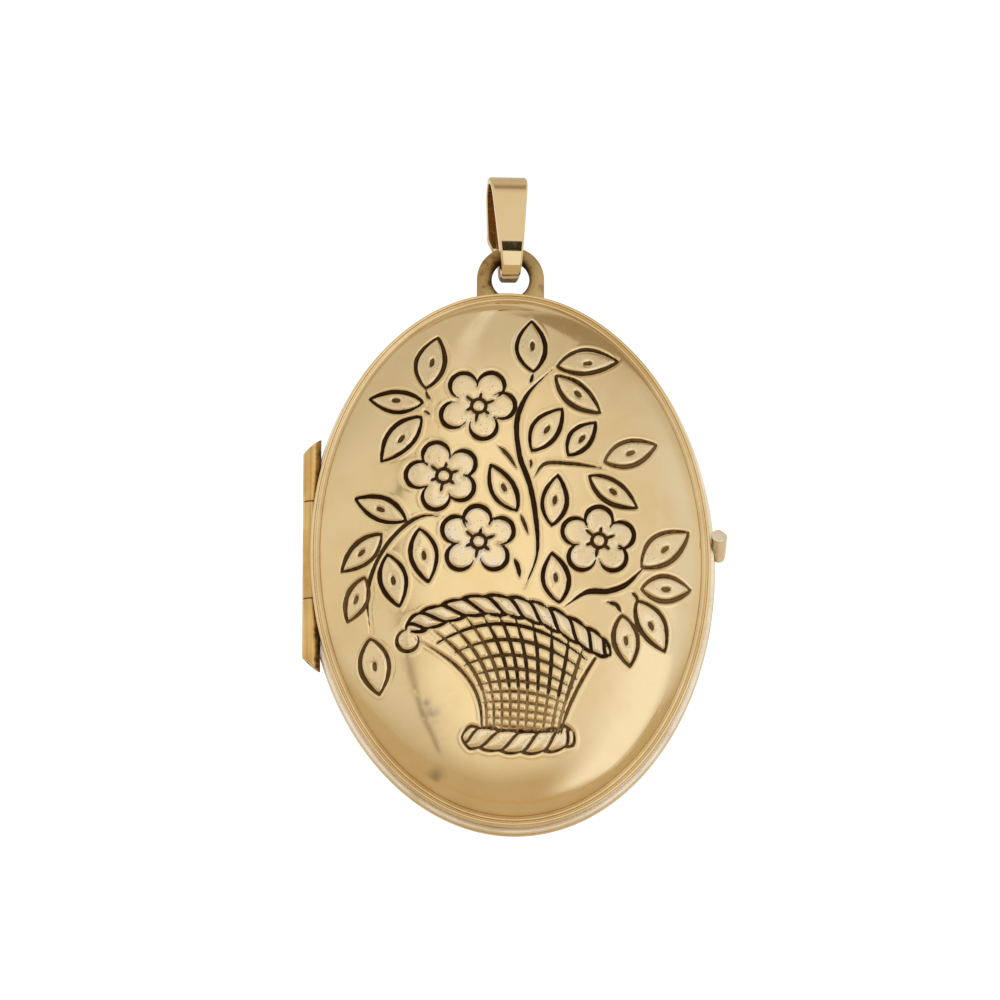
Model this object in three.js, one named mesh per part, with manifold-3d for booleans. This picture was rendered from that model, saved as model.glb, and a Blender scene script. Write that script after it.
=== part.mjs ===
// An oval hinged locket on a folded strap bail, in millimetres.
// +Z is up, +X is to the right and the engraved front cover faces -Y.
// The origin is where a chain bears, at the inside top of the bail, and the locket hangs below it.
import * as THREE from "three";
import { mergeVertices } from "three/addons/utils/BufferGeometryUtils.js";
import Module from "manifold-3d";

const wasm = await Module();
wasm.setup();

// ---- Driving dimensions ----

// The case is a front and a back half that meet in the plane y = 0, each a cover on a rim.
const caseHalfWidth = 13.5;
const caseHalfHeight = 18.4;
const frontInset = 0.3; // the front half is this much smaller all round
const ovalLean = THREE.MathUtils.degToRad(1.8); // top to the left, against the loop and hinge
const sheet = 0.4; // metal of the covers
const flangeWidth = 0.9; // flat edge of a cover outside its dome
const flangeRound = 0.15; // worn outer corner of the flange
const beadWidth = 0.38; // the front flange has a raised bead round its edge
const beadHeight = 0.07;
const lineWidth = 0.12; // and a fine scribed line at the foot of its dome
const lineDepth = 0.08;
const shoulderRise = 0.75; // a dome's quick rise just inside its flange
const crownRise = 1.25; // the gentle rise from there to its middle
const crownFlat = 2.0; // radius of the level middle of a dome
const rimInset = 0.06; // the rim stands this far inside its cover's edge

// The collar on the back half plugs into the front rim, and its ridge makes the snap.
const collarWall = 0.3;
const collarReach = 0.55; // how far it stands out of the back half
const ridgeLength = 2.0;
const ridgeHeight = 0.09; // it passes the front rim's edge by a hair, which is what clicks
const ridgeWidth = 0.2;

// A frame, a clear window, a print and its backing card lie in each half.
const frameSheet = 0.16;
const frameSkirt = 0.17; // the upstand that locates the window
const frameSightInset = 3.3; // from the case's edge to the opening that shows the picture
const windowSheet = 0.15;
const printSheet = 0.08;
const cardSheet = 0.1;

// The hinge is three knuckles on one pin, down the left side.
const barrelRadius = 0.6;
const pinRadius = 0.25;
const hingeInset = 0.37; // from the case's edge in to the hinge axis
const hingeCentre = 0.35; // its middle lies this far above the middle of the case
const knuckleLengths = [4.4, 6.6, 3.8]; // from the lower one up
const barrelEndSlant = THREE.MathUtils.degToRad(40); // both ends are filed to follow the oval

// The thumb peg stands forward from the back rim on the right.
const pegRadius = 0.53;
const pegLength = 2.5;
const pegHeight = 0.3; // its root, above the middle of the case
const pegLean = THREE.MathUtils.degToRad(28); // upwards, going forward
const pegRootDepth = 1.1;
const pegOutset = 0.26; // from the case's edge to the peg's axis

// The loop is soldered on top of the back half.
const loopBore = 1.25; // radius of its hole
const loopWall = 1.0;
const loopDepth = 0.95;
const loopBack = 0.53; // its middle, behind the plane where the halves meet
const loopChamfer = 0.22;
const loopRise = 1.05; // its middle, above the top of the case

// The bail is one strap folded through the loop.
const strap = 0.45;
const bailInnerHeight = 4.9; // from the middle of the loop's wire up to the chain
const bailTopRadius = 1.05; // inside its upper bend
const bailHalfWidthTop = 1.22;
const bailHalfWidthFoot = 0.6;
const bailTwist = THREE.MathUtils.degToRad(8.5); // it hangs loose, a little askew

// ---- Clearances ----

const solderGap = 0.04; // between two pieces that are soldered or rest together
const partingGap = 0.04; // from the plane where the halves meet to each rim
const slideGap = 0.06; // between the collar and the front rim, and round the frames
const hingeGap = 0.06; // round the barrel
const pinGap = 0.03;
const knuckleGap = 0.05;
const bailGap = 0.46; // round the loop's wire

// ---- Sizes that follow from them ----

const flangeLow = barrelRadius + hingeGap + 0.02; // the covers stay clear of the barrel
const flangeHigh = flangeLow + sheet;
const rimHigh = flangeLow - solderGap;
const domeFoot = caseHalfWidth - flangeWidth;
const innerFoot = domeFoot - sheet;
const frontHalfWidth = caseHalfWidth - frontInset;
const rimInner = innerFoot;
const collarOuter = rimInner - slideGap;
const collarInner = collarOuter - collarWall;
const hingeX = -(caseHalfWidth - hingeInset);
const hingeLength = knuckleLengths.reduce((sum, length) => sum + length, 0);
const hingeFoot = hingeCentre - hingeLength / 2;
const loopZ = caseHalfHeight + loopRise;
const pivotZ = loopZ + loopBore + loopWall / 2; // middle of the loop's wire, where the bail hangs
const chainZ = pivotZ + bailInnerHeight;

const AROUND = 64; // facets round the oval
const BARREL_SIDES = 24;

// ---- Materials ----

const gold = (roughness, colour = 0xd2ae6a) =>
  new THREE.MeshStandardMaterial({ color: colour, roughness, metalness: 1 });
const polishedGold = gold(0.18);
const wornGold = gold(0.34, 0xc09a58);
const clearAcetate = new THREE.MeshStandardMaterial({
  color: 0xf4f6f2,
  roughness: 0.08,
  metalness: 0,
  transparent: true,
  opacity: 0.3,
});
const paper = (colour) =>
  new THREE.MeshStandardMaterial({ color: colour, roughness: 0.85, metalness: 0 });
const blankPrint = paper(0xe9dfc8);
const greyCard = paper(0x9c958a);

// ---- Solids ----

function toSolid(geometry) {
  const bare = geometry.clone();
  bare.deleteAttribute("normal");
  bare.deleteAttribute("uv");
  const merged = mergeVertices(bare, 1e-4);
  return new wasm.Manifold(
    new wasm.Mesh({
      numProp: 3,
      vertProperties: merged.getAttribute("position").array,
      triVerts: new Uint32Array(merged.index.array),
    }),
  );
}

function toGeometry(solid) {
  const mesh = solid.getMesh();
  return new THREE.BufferGeometry()
    .setAttribute("position", new THREE.BufferAttribute(mesh.vertProperties, 3))
    .setIndex(new THREE.BufferAttribute(mesh.triVerts, 1));
}

const cut = (geometry, ...tools) =>
  toGeometry(tools.reduce((left, tool) => left.subtract(toSolid(tool)), toSolid(geometry)));

const part = (name, geometry, material) => {
  const mesh = new THREE.Mesh(geometry, material);
  mesh.name = name;
  return mesh;
};

/** Half height of the oval whose half width is given: parallel to the case's edge near it. */
function ovalHalfHeight(halfWidth) {
  const share = halfWidth / caseHalfWidth;
  return halfWidth + (caseHalfHeight - caseHalfWidth) * share * (2 - share);
}

/** A section of [half width, depth] points, turned about the Y axis and stretched to the oval. */
function turnToOval(section) {
  const points = section.map(([halfWidth, depth]) => new THREE.Vector2(halfWidth, depth));
  const turned = new THREE.LatheGeometry(points, AROUND);
  const position = turned.getAttribute("position");
  for (let i = 0; i < position.count; i += 1) {
    const radius = Math.hypot(position.getX(i), position.getZ(i));
    if (radius > 0) position.setZ(i, (position.getZ(i) * ovalHalfHeight(radius)) / radius);
  }
  return turned.rotateY(-ovalLean);
}

/** A back half's section as the front half's. */
const toFront = (section) => section.map(([halfWidth, depth]) => [halfWidth, -depth]).reverse();

/** A closed rectangular section of a ring. */
const ringSection = (inner, outer, near, far) => [
  [inner, near],
  [outer, near],
  [outer, far],
  [inner, far],
  [inner, near],
];

/** A cylinder along Z, from its foot up. */
function upright(radius, foot, length, x, sides = BARREL_SIDES) {
  return new THREE.CylinderGeometry(radius, radius, length, sides)
    .rotateX(Math.PI / 2)
    .translate(x, 0, foot + length / 2);
}

function box([x0, x1], [y0, y1], [z0, z1]) {
  return new THREE.BoxGeometry(x1 - x0, y1 - y0, z1 - z0).translate(
    (x0 + x1) / 2,
    (y0 + y1) / 2,
    (z0 + z1) / 2,
  );
}

/** The outline of both halves, grown by the solder gap, to cut what is fixed on the edge. */
const caseOutline = () => {
  const back = caseHalfWidth + solderGap;
  const front = frontHalfWidth + solderGap;
  return turnToOval([
    [0, -3 * flangeHigh],
    [front, -3 * flangeHigh],
    [front, 0],
    [back, 0],
    [back, 3 * flangeHigh],
    [0, 3 * flangeHigh],
  ]);
};

// ---- Covers ----

/** How far a dome stands above its flange, at a share of the way out from its middle. */
const domeRise = (share) =>
  shoulderRise * Math.sqrt(1 - share ** 8) + crownRise * (1 - share ** 2);

/** The flange's worn edge on the back half, from its inner corner out and over. */
const plainEdge = (edge) => [
  [edge, flangeLow],
  [edge, flangeHigh - flangeRound],
  [edge - flangeRound, flangeHigh],
];

/** The front half's flange: a bead at its edge, a flat, then the scribed line. */
const beadedEdge = (edge) => [
  [edge, flangeLow],
  [edge, flangeHigh - flangeRound],
  [edge - 0.25 * beadWidth, flangeHigh + 0.6 * beadHeight],
  [edge - 0.5 * beadWidth, flangeHigh + beadHeight],
  [edge - 0.75 * beadWidth, flangeHigh + 0.6 * beadHeight],
  [edge - beadWidth, flangeHigh],
  [domeFoot + lineWidth, flangeHigh],
  [domeFoot + lineWidth / 2, flangeHigh - lineDepth],
];

/** A cover: the same even sheet over its dome and its flange, with a level middle. */
function coverSection(edgePoints) {
  const shares = [crownFlat / domeFoot, 0.34, 0.52, 0.68, 0.81, 0.9, 0.96, 0.99, 1];
  const surface = (foot, base) => shares.map((share) => [foot * share, base + domeRise(share)]);
  const outside = surface(domeFoot, flangeHigh);
  const inside = surface(innerFoot, flangeLow);
  return [
    [0, inside[0][1]],
    ...inside,
    ...edgePoints,
    ...outside.reverse(),
    [0, outside[outside.length - 1][1]],
  ];
}

// ---- Rims and collar ----

const rimSection = (edge) => ringSection(rimInner, edge - rimInset, partingGap, rimHigh);

/** Room for the barrel, along the whole left side, and nothing of a rim left outside it. */
const barrelRoom = () => [
  upright(barrelRadius + hingeGap, -caseHalfHeight, 2 * caseHalfHeight, hingeX),
  box([hingeX - 1, hingeX], [-1, 1], [-caseHalfHeight, caseHalfHeight]),
];

const backRim = () => cut(turnToOval(rimSection(caseHalfWidth)), ...barrelRoom());

/** The front rim has a short groove inside it that the collar's ridge snaps into. */
function frontRim() {
  const halfLength = ridgeLength / 2 + slideGap;
  const groove = box(
    [0, collarOuter + ridgeHeight + slideGap],
    [-(collarReach + ridgeWidth) / 2 - slideGap, (ridgeWidth - collarReach) / 2 + slideGap],
    [-halfLength, halfLength],
  );
  return cut(turnToOval(toFront(rimSection(frontHalfWidth))), ...barrelRoom(), groove);
}

const collar = () => turnToOval(ringSection(collarInner, collarOuter, -collarReach, rimHigh));

/** A half-round ridge along the collar's outside, opposite the hinge. */
function snapRidge() {
  const ridge = new THREE.CylinderGeometry(ridgeHeight, ridgeHeight, ridgeLength, 12)
    .rotateX(Math.PI / 2)
    .scale(1, ridgeWidth / 2 / ridgeHeight, 1)
    .translate(collarOuter, -collarReach / 2, 0);
  const reach = collarOuter + solderGap;
  const inside = turnToOval([
    [0, -collarReach],
    [reach, -collarReach],
    [reach, collarReach],
    [0, collarReach],
  ]);
  return cut(ridge, inside);
}

// ---- Pictures ----

const frameNear = flangeLow - solderGap / 2;
const frameFar = frameNear + frameSheet;
const windowNear = frameFar + solderGap;
const windowFar = windowNear + windowSheet;
const printNear = windowFar + solderGap;
const printFar = printNear + printSheet;
const cardNear = printFar + solderGap;
const cardFar = cardNear + cardSheet;
const skirtOuter = collarInner - slideGap;
const skirtWall = 0.16;
const windowEdge = skirtOuter - skirtWall - slideGap;
const printEdge = windowEdge - 0.1;
const cardEdge = windowEdge - 0.4; // the dome leaves less room behind the print

/** A flat oval frame, edged to suit its half, with an upstand round the window. */
function frameSection(edge) {
  const sight = caseHalfWidth - frameSightInset;
  const skirtFar = frameFar + frameSkirt;
  const section = [
    [sight, frameNear],
    [edge, frameNear],
    [edge, frameFar],
    [skirtOuter, frameFar],
    [skirtOuter, skirtFar],
    [skirtOuter - skirtWall, skirtFar],
    [skirtOuter - skirtWall, frameFar],
    [sight, frameFar],
    [sight, frameNear],
  ];
  return edge > skirtOuter ? section : section.filter((_, i) => i !== 2 && i !== 3);
}

const discSection = (edge, near, far) => [
  [0, near],
  [edge, near],
  [edge, far],
  [0, far],
];

/** One half's picture, from its frame to its backing card. turn is toFront for the front half. */
function picture(half, frameEdge, turn) {
  return [
    part(`${half}_photo_frame`, turnToOval(turn(frameSection(frameEdge))), polishedGold),
    part(
      `${half}_photo_window`,
      turnToOval(turn(discSection(windowEdge, windowNear, windowFar))),
      clearAcetate,
    ),
    part(
      `${half}_photo_print`,
      turnToOval(turn(discSection(printEdge, printNear, printFar))),
      blankPrint,
    ),
    part(
      `${half}_backing_card`,
      turnToOval(turn(discSection(cardEdge, cardNear, cardFar))),
      greyCard,
    ),
  ];
}

// ---- Hinge ----

/** The knuckles' ends on the hinge axis, from the lowest up. */
const knuckleEnds = knuckleLengths.reduce(
  (ends, length) => [...ends, ends[ends.length - 1] + length],
  [hingeFoot],
);

/** What the slanted file strokes take off the two ends of the barrel. */
function barrelEndCutters() {
  const size = 6 * barrelRadius;
  return [-1, 1].map((end) => {
    const z = end < 0 ? hingeFoot : hingeFoot + hingeLength;
    return new THREE.BoxGeometry(2 * size, 2 * size, size)
      .translate(0, 0, (end * size) / 2)
      .rotateY(-end * barrelEndSlant)
      .translate(hingeX, 0, z);
  });
}

function knuckle(index) {
  const margin = 2 * barrelRadius; // stock for the slanted ends
  const foot = knuckleEnds[index] + (index === 0 ? -margin : knuckleGap / 2);
  const last = index === knuckleLengths.length - 1;
  const head = knuckleEnds[index + 1] + (last ? margin : -knuckleGap / 2);
  const tube = upright(barrelRadius, foot, head - foot, hingeX);
  const bore = upright(pinRadius + pinGap, foot - 1, head - foot + 2, hingeX);
  return cut(tube, bore, ...barrelEndCutters());
}

function hingePin() {
  const margin = 2 * barrelRadius;
  const pin = upright(pinRadius, hingeFoot - margin, hingeLength + 2 * margin, hingeX);
  return cut(pin, ...barrelEndCutters());
}

// ---- Thumb peg ----

/** A round peg with a flat front end and a rounded root, filed to sit on the back rim. */
function thumbPeg() {
  const rootRadius = pegRadius * 0.78;
  const rounding = [0, 0.25, 0.5, 0.75, 1].map((step) => {
    const angle = (step * Math.PI) / 2;
    return new THREE.Vector2(rootRadius * Math.sin(angle), rootRadius * (1 - Math.cos(angle)));
  });
  const profile = [
    ...rounding,
    new THREE.Vector2(pegRadius, pegLength - 0.08),
    new THREE.Vector2(pegRadius - 0.08, pegLength),
    new THREE.Vector2(0, pegLength),
  ];
  const peg = new THREE.LatheGeometry(profile, 20)
    .rotateX(Math.PI) // from standing along +Y to pointing forward, along -Y
    .rotateX(-pegLean)
    .translate(caseHalfWidth + pegOutset, pegRootDepth, pegHeight);
  return cut(peg, caseOutline());
}

// ---- Loop ----

/** A ring with straight legs from its middle down, filed to sit on the case. */
function suspensionLoop() {
  const outer = loopBore + loopWall;
  const half = loopDepth / 2;
  const corners = [
    [loopBore + loopChamfer, -half],
    [outer - loopChamfer, -half],
    [outer, -half + loopChamfer],
    [outer, half - loopChamfer],
    [outer - loopChamfer, half],
    [loopBore + loopChamfer, half],
    [loopBore, half - loopChamfer],
    [loopBore, -half + loopChamfer],
    [loopBore + loopChamfer, -half],
  ];
  const points = corners.map(([radius, depth]) => new THREE.Vector2(radius, depth));
  const legLength = loopRise + loopWall;
  const legs = [0, Math.PI].map((turn) =>
    new THREE.ExtrudeGeometry(new THREE.Shape(points), { depth: legLength, bevelEnabled: false })
      .translate(0, 0, -legLength)
      .rotateZ(turn),
  );
  const loop = legs.reduce(
    (whole, leg) => whole.add(toSolid(leg)),
    toSolid(new THREE.LatheGeometry(points, 36)),
  );
  return cut(toGeometry(loop).translate(0, loopBack, loopZ), caseOutline());
}

// ---- Bail ----

/** A teardrop path round an upper and a lower circle, each given as [radius, height]. */
function teardrop(path, [upper, upperZ], [lower, lowerZ]) {
  const lean = Math.asin((upper - lower) / (upperZ - lowerZ));
  path.absarc(0, upperZ, upper, -lean, Math.PI + lean, false);
  path.absarc(0, lowerZ, lower, Math.PI + lean, 2 * Math.PI - lean, false);
  return path;
}

/** The bail, with its origin where the chain bears. */
function bailStrap() {
  const upperZ = -bailTopRadius;
  const footRadius = loopDepth / 2 + bailGap;
  const lowerZ = -bailInnerHeight - (loopWall / 2 + bailGap) + footRadius;
  const across = new THREE.Matrix4().makeBasis(
    new THREE.Vector3(0, 1, 0),
    new THREE.Vector3(0, 0, 1),
    new THREE.Vector3(1, 0, 0),
  );
  const width = 2 * bailHalfWidthTop;
  const asStrap = (shape) =>
    new THREE.ExtrudeGeometry(shape, { depth: width, bevelEnabled: false, curveSegments: 14 })
      .translate(0, 0, -width / 2)
      .applyMatrix4(across);

  // The two ends lap under the foot, so the strap is twice as thick there.
  const outline = teardrop(
    new THREE.Shape(),
    [bailTopRadius + strap, upperZ],
    [footRadius + 1.5 * strap, lowerZ - strap / 2],
  );
  outline.holes.push(
    teardrop(new THREE.Path(), [bailTopRadius, upperZ], [footRadius, lowerZ]),
  );

  const footZ = lowerZ - footRadius - 2 * strap;
  const headZ = upperZ + bailTopRadius + strap;
  const taper = new THREE.Shape();
  taper.moveTo(-bailHalfWidthFoot, footZ - 0.1);
  taper.lineTo(bailHalfWidthFoot, footZ - 0.1);
  taper.lineTo(bailHalfWidthTop, headZ);
  taper.lineTo(-bailHalfWidthTop, headZ);
  const depth = 6 * bailTopRadius;
  const facing = new THREE.Matrix4().makeBasis(
    new THREE.Vector3(1, 0, 0),
    new THREE.Vector3(0, 0, 1),
    new THREE.Vector3(0, -1, 0),
  );
  const front = new THREE.ExtrudeGeometry(taper, { depth, bevelEnabled: false })
    .translate(0, 0, -depth / 2)
    .applyMatrix4(facing);

  return toGeometry(toSolid(asStrap(outline)).intersect(toSolid(front))).rotateZ(bailTwist);
}

// ---- Assembly ----

const asIs = (section) => section;

const backHalf = new THREE.Group();
backHalf.add(
  part("back_cover", turnToOval(coverSection(plainEdge(caseHalfWidth))), polishedGold),
  part("back_rim", backRim(), wornGold),
  part("back_snap_collar", collar(), polishedGold),
  part("snap_ridge", snapRidge(), polishedGold),
  ...picture("back", skirtOuter, asIs),
  part("hinge_knuckle_lower", knuckle(0), wornGold),
  part("hinge_knuckle_upper", knuckle(2), wornGold),
  part("hinge_pin", hingePin(), wornGold),
  part("thumb_peg", thumbPeg(), polishedGold),
  part("suspension_loop", suspensionLoop(), wornGold),
);

const frontHalf = new THREE.Group();
frontHalf.add(
  part("front_cover", turnToOval(toFront(coverSection(beadedEdge(frontHalfWidth)))), polishedGold),
  part("front_rim", frontRim(), wornGold),
  ...picture("front", rimInner - 2 * slideGap, toFront),
  part("hinge_knuckle_middle", knuckle(1), wornGold),
);

const lockedCase = new THREE.Group();
lockedCase.position.set(0, -loopBack, -chainZ); // the loop hangs in line under the bail
lockedCase.add(backHalf, frontHalf);

const locket = new THREE.Group();
locket.add(part("bail_strap", bailStrap(), polishedGold), lockedCase);

export default locket;
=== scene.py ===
# %% [markdown]
# # An oval gold locket with an engraved basket of flowers
# The locket hangs from a folded strap bail. Its case is two shallow domed covers on rims,
# hinged on the left, with a thumb peg on the right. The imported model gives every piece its
# place and says what moves. This script makes the metal look like metal: smooth domes,
# rounded edges, cut lines, wear and a few small bumps.

import math

import bpy
import numpy as np
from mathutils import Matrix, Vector


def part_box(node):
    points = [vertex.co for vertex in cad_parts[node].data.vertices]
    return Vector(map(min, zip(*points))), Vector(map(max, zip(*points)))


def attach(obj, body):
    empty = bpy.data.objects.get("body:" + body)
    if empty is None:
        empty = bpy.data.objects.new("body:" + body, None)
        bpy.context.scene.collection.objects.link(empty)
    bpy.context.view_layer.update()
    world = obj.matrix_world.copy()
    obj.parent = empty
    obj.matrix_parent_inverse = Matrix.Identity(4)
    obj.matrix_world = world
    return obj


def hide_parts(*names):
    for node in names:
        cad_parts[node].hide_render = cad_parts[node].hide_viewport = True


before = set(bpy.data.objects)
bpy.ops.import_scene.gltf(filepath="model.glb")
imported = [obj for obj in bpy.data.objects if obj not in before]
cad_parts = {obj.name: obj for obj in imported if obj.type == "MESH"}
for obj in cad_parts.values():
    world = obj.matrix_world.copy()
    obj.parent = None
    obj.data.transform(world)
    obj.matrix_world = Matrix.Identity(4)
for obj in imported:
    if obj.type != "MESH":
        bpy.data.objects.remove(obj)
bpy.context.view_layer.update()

# %% [markdown]
# ## Sizes
# A piece of jewellery is drawn in millimetres and Blender works in metres, so every size
# below is in millimetres and one function moves points into the row frame. Case points are
# (across, depth, up) from the middle of the case. Depth is negative towards the front.

# %% Sizes of the case, in millimetres
MM = 0.001
CASE_HALF_WIDTH = 13.5
CASE_HALF_HEIGHT = 18.4
FRONT_INSET = 0.3
FRONT_HALF_WIDTH = CASE_HALF_WIDTH - FRONT_INSET
OVAL_LEAN = math.radians(1.8)
SHEET = 0.4
FLANGE_LOW = 0.68
FLANGE_HIGH = FLANGE_LOW + SHEET
DOME_FOOT = 12.6
INNER_FOOT = DOME_FOOT - SHEET
RIM_HIGH = 0.64
PARTING_GAP = 0.04
RIM_INSET = 0.06
COLLAR_OUTER = 12.14
COLLAR_INNER = 11.84
COLLAR_REACH = 0.55
HINGE_X = -13.13
BARREL_RADIUS = 0.6
HINGE_GAP = 0.06

back_low, back_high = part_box("back_cover")
rim_low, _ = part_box("back_rim")
CASE_Y = rim_low.y / MM - PARTING_GAP
CASE_Z = (back_low.z + back_high.z) / 2 / MM
print(f"middle of the case: depth {CASE_Y:.2f}, up {CASE_Z:.2f} mm")


def to_row(points, lean=True):
    """Case points in millimetres, as an array of row-frame points in metres."""
    points = np.array(points, float).reshape(-1, 3)
    across, depth, up = points.T
    if lean:
        c, s = math.cos(OVAL_LEAN), math.sin(OVAL_LEAN)
        across, up = across * c - up * s, across * s + up * c
    return np.column_stack([across, depth + CASE_Y, up + CASE_Z]) * MM


def upright(points):
    """Where leaned case points end up, as (across, up)."""
    leaned = to_row(points) / MM - [0, CASE_Y, CASE_Z]
    return leaned[:, [0, 2]]


def oval_half_height(half_width):
    """The half height of the oval that is this half width, here and further in."""
    share = half_width / CASE_HALF_WIDTH
    return half_width + (CASE_HALF_HEIGHT - CASE_HALF_WIDTH) * share * (2 - share)


# %% [markdown]
# ## From points to a piece
# A piece could be modelled by hand, but these shapes follow rules, so points and faces are
# worked out and handed to one function. It turns faces outwards by the sign of the volume
# they enclose, shades the mesh smooth with sharp edges where it really turns a corner,
# parents it to the body it moves with and hides the imported node it stands for.

# %% Piece maker
def enclosed_volume(points, faces):
    """The volume inside a closed mesh. It is negative when the faces point inwards."""
    total = 0.0
    for size in (3, 4):
        group = np.array([f for f in faces if len(f) == size], int)
        for i in range(1, size - 1):
            if len(group):
                a, b, c = points[group[:, 0]], points[group[:, i]], points[group[:, i + 1]]
                total += np.einsum("ij,ij->i", a, np.cross(b, c)).sum() / 6
    return total


def make_piece(name, points, faces, material, body, stands_for, sharp=35):
    """A finished piece on its body. Edges that turn by more than sharp degrees stay sharp."""
    faces = [tuple(int(i) for i in face) for face in faces]
    if enclosed_volume(points, faces) < 0:
        faces = [face[::-1] for face in faces]
    mesh = bpy.data.meshes.new(name)
    mesh.from_pydata(points.tolist(), [], faces)
    mesh.materials.append(material)
    mesh.shade_smooth()
    mesh.set_sharp_from_angle(angle=math.radians(sharp))
    piece = bpy.data.objects.new(name, mesh)
    bpy.context.scene.collection.objects.link(piece)
    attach(piece, body)
    if stands_for:
        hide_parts(*stands_for)
    print(f"{name}: {len(points)} points, {len(faces)} faces")
    return piece


def wrap_rings(first, count, around, closed):
    """Quads between count rings of the same size, the first one starting at point first."""
    faces = []
    step = np.arange(around)
    after = (step + 1) % around
    for k in range(count if closed else count - 1):
        low = first + k * around
        high = first + ((k + 1) % count) * around
        faces += np.column_stack([low + step, low + after, high + after, high + step]).tolist()
    return faces


print("piece maker ready, for faces of three or four corners")

# %% [markdown]
# ## Wear that follows the shape
# Tarnish and dirt gather where a cloth doesn't reach, and that depends on the shape. It
# could be painted, but here it is a number at each point, stored on the mesh as an
# attribute, so it always sits in the right corner. A material reads it by its name, and a
# piece without the attribute gives nought, so one gold serves worn and clean pieces.

# %% Wear
HALVINGS = 24
FOOT_TARNISH = 0.5


def half_width_at(points):
    """The half width of the case oval that passes through each case point."""
    low, high = np.full(len(points), 0.01), np.full(len(points), 16.0)
    for _ in range(HALVINGS):
        middle = (low + high) / 2
        outside = np.hypot(points[:, 0] / middle, points[:, 2] / oval_half_height(middle)) > 1
        low, high = np.where(outside, middle, low), np.where(outside, high, middle)
    return middle


def old_polish(points):
    """Tarnish in the corner at the foot of the dome, where no cloth reaches."""
    from_corner = half_width_at(points) - DOME_FOOT - 0.04
    return FOOT_TARNISH * np.exp(-((from_corner / 0.16) ** 2))


def put_on(piece, name, values):
    """Gives a piece one number at each point, which its material can read by name."""
    layer = piece.data.attributes.new(name, "FLOAT", "POINT")
    layer.data.foreach_set("value", np.asarray(values, np.float32))


corner_spot = np.array([[DOME_FOOT + 0.04, 0.0, 0.0]])
print("tarnish at the foot of the dome:", np.round(old_polish(corner_spot), 2))

# %% [markdown]
# ## Materials: helpers
# A material is a tree of nodes. Building it in the shader editor works just as well, but
# a script keeps every number in sight. These helpers add a node and link its inputs in
# one line, so that a finish below reads like a recipe.

# %% Node helpers
def new_material(name):
    """A material with its node tree and its main shader."""
    material = bpy.data.materials.new(name)
    material.use_nodes = True
    tree = material.node_tree
    surface = tree.nodes["Principled BSDF"]
    return material, tree, surface


def add_node(tree, kind, inputs=(), **settings):
    """A node whose inputs are given as values or as another node's output socket."""
    node = tree.nodes.new(kind)
    for key, value in settings.items():
        setattr(node, key, value)
    for socket, value in dict(inputs).items():
        if isinstance(value, bpy.types.NodeSocket):
            tree.links.new(value, node.inputs[socket])
        else:
            node.inputs[socket].default_value = value
    return node


def mix_colours(tree, factor, first, second):
    """The first colour at factor 0 and the second at factor 1."""
    node = add_node(tree, "ShaderNodeMix", data_type="RGBA")
    for socket, value in ((0, factor), (6, first), (7, second)):
        if isinstance(value, bpy.types.NodeSocket):
            tree.links.new(value, node.inputs[socket])
        else:
            node.inputs[socket].default_value = value
    return node.outputs[2]


def remap(tree, value, low, high, to_low=0.0, to_high=1.0):
    """A smooth step from to_low, where value is low, to to_high, where value is high."""
    node = add_node(tree, "ShaderNodeMapRange", {0: value, 1: low, 2: high, 3: to_low, 4: to_high})
    node.interpolation_type = "SMOOTHSTEP"
    return node.outputs[0]


def maths(tree, operation, first, second=0.0):
    """The result of one sum on two values or sockets."""
    return add_node(tree, "ShaderNodeMath", {0: first, 1: second}, operation=operation).outputs[0]


print("node helpers ready")

# %% [markdown]
# ## Materials: worn gold
# Gold has no colour of its own in the shadow: what shows is the colour of its reflections.
# So the base colour is pale, and the variety comes from roughness and from very small
# bumps: hand polish leaves soft waves, and wear leaves hairlines and tiny pits. A flat
# yellow shader would look like plastic. An ambient occlusion node paints shade into the
# corners and gaps as a near black brown, the attribute shade_and_dirt paints shade and
# dirt where the shapes ask for them, dark and dull, and tarnish is only a browner gold.

# %% Gold
PALE_GOLD = (0.77, 0.585, 0.315, 1)
DEEP_GOLD = (0.73, 0.535, 0.27, 1)
# Near black brown for painted shade in corners and gaps, and for dirt.
SHADE_AND_DIRT_BROWN = (0.10, 0.055, 0.02, 1)
TARNISH = (0.50, 0.32, 0.13, 1)


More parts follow.
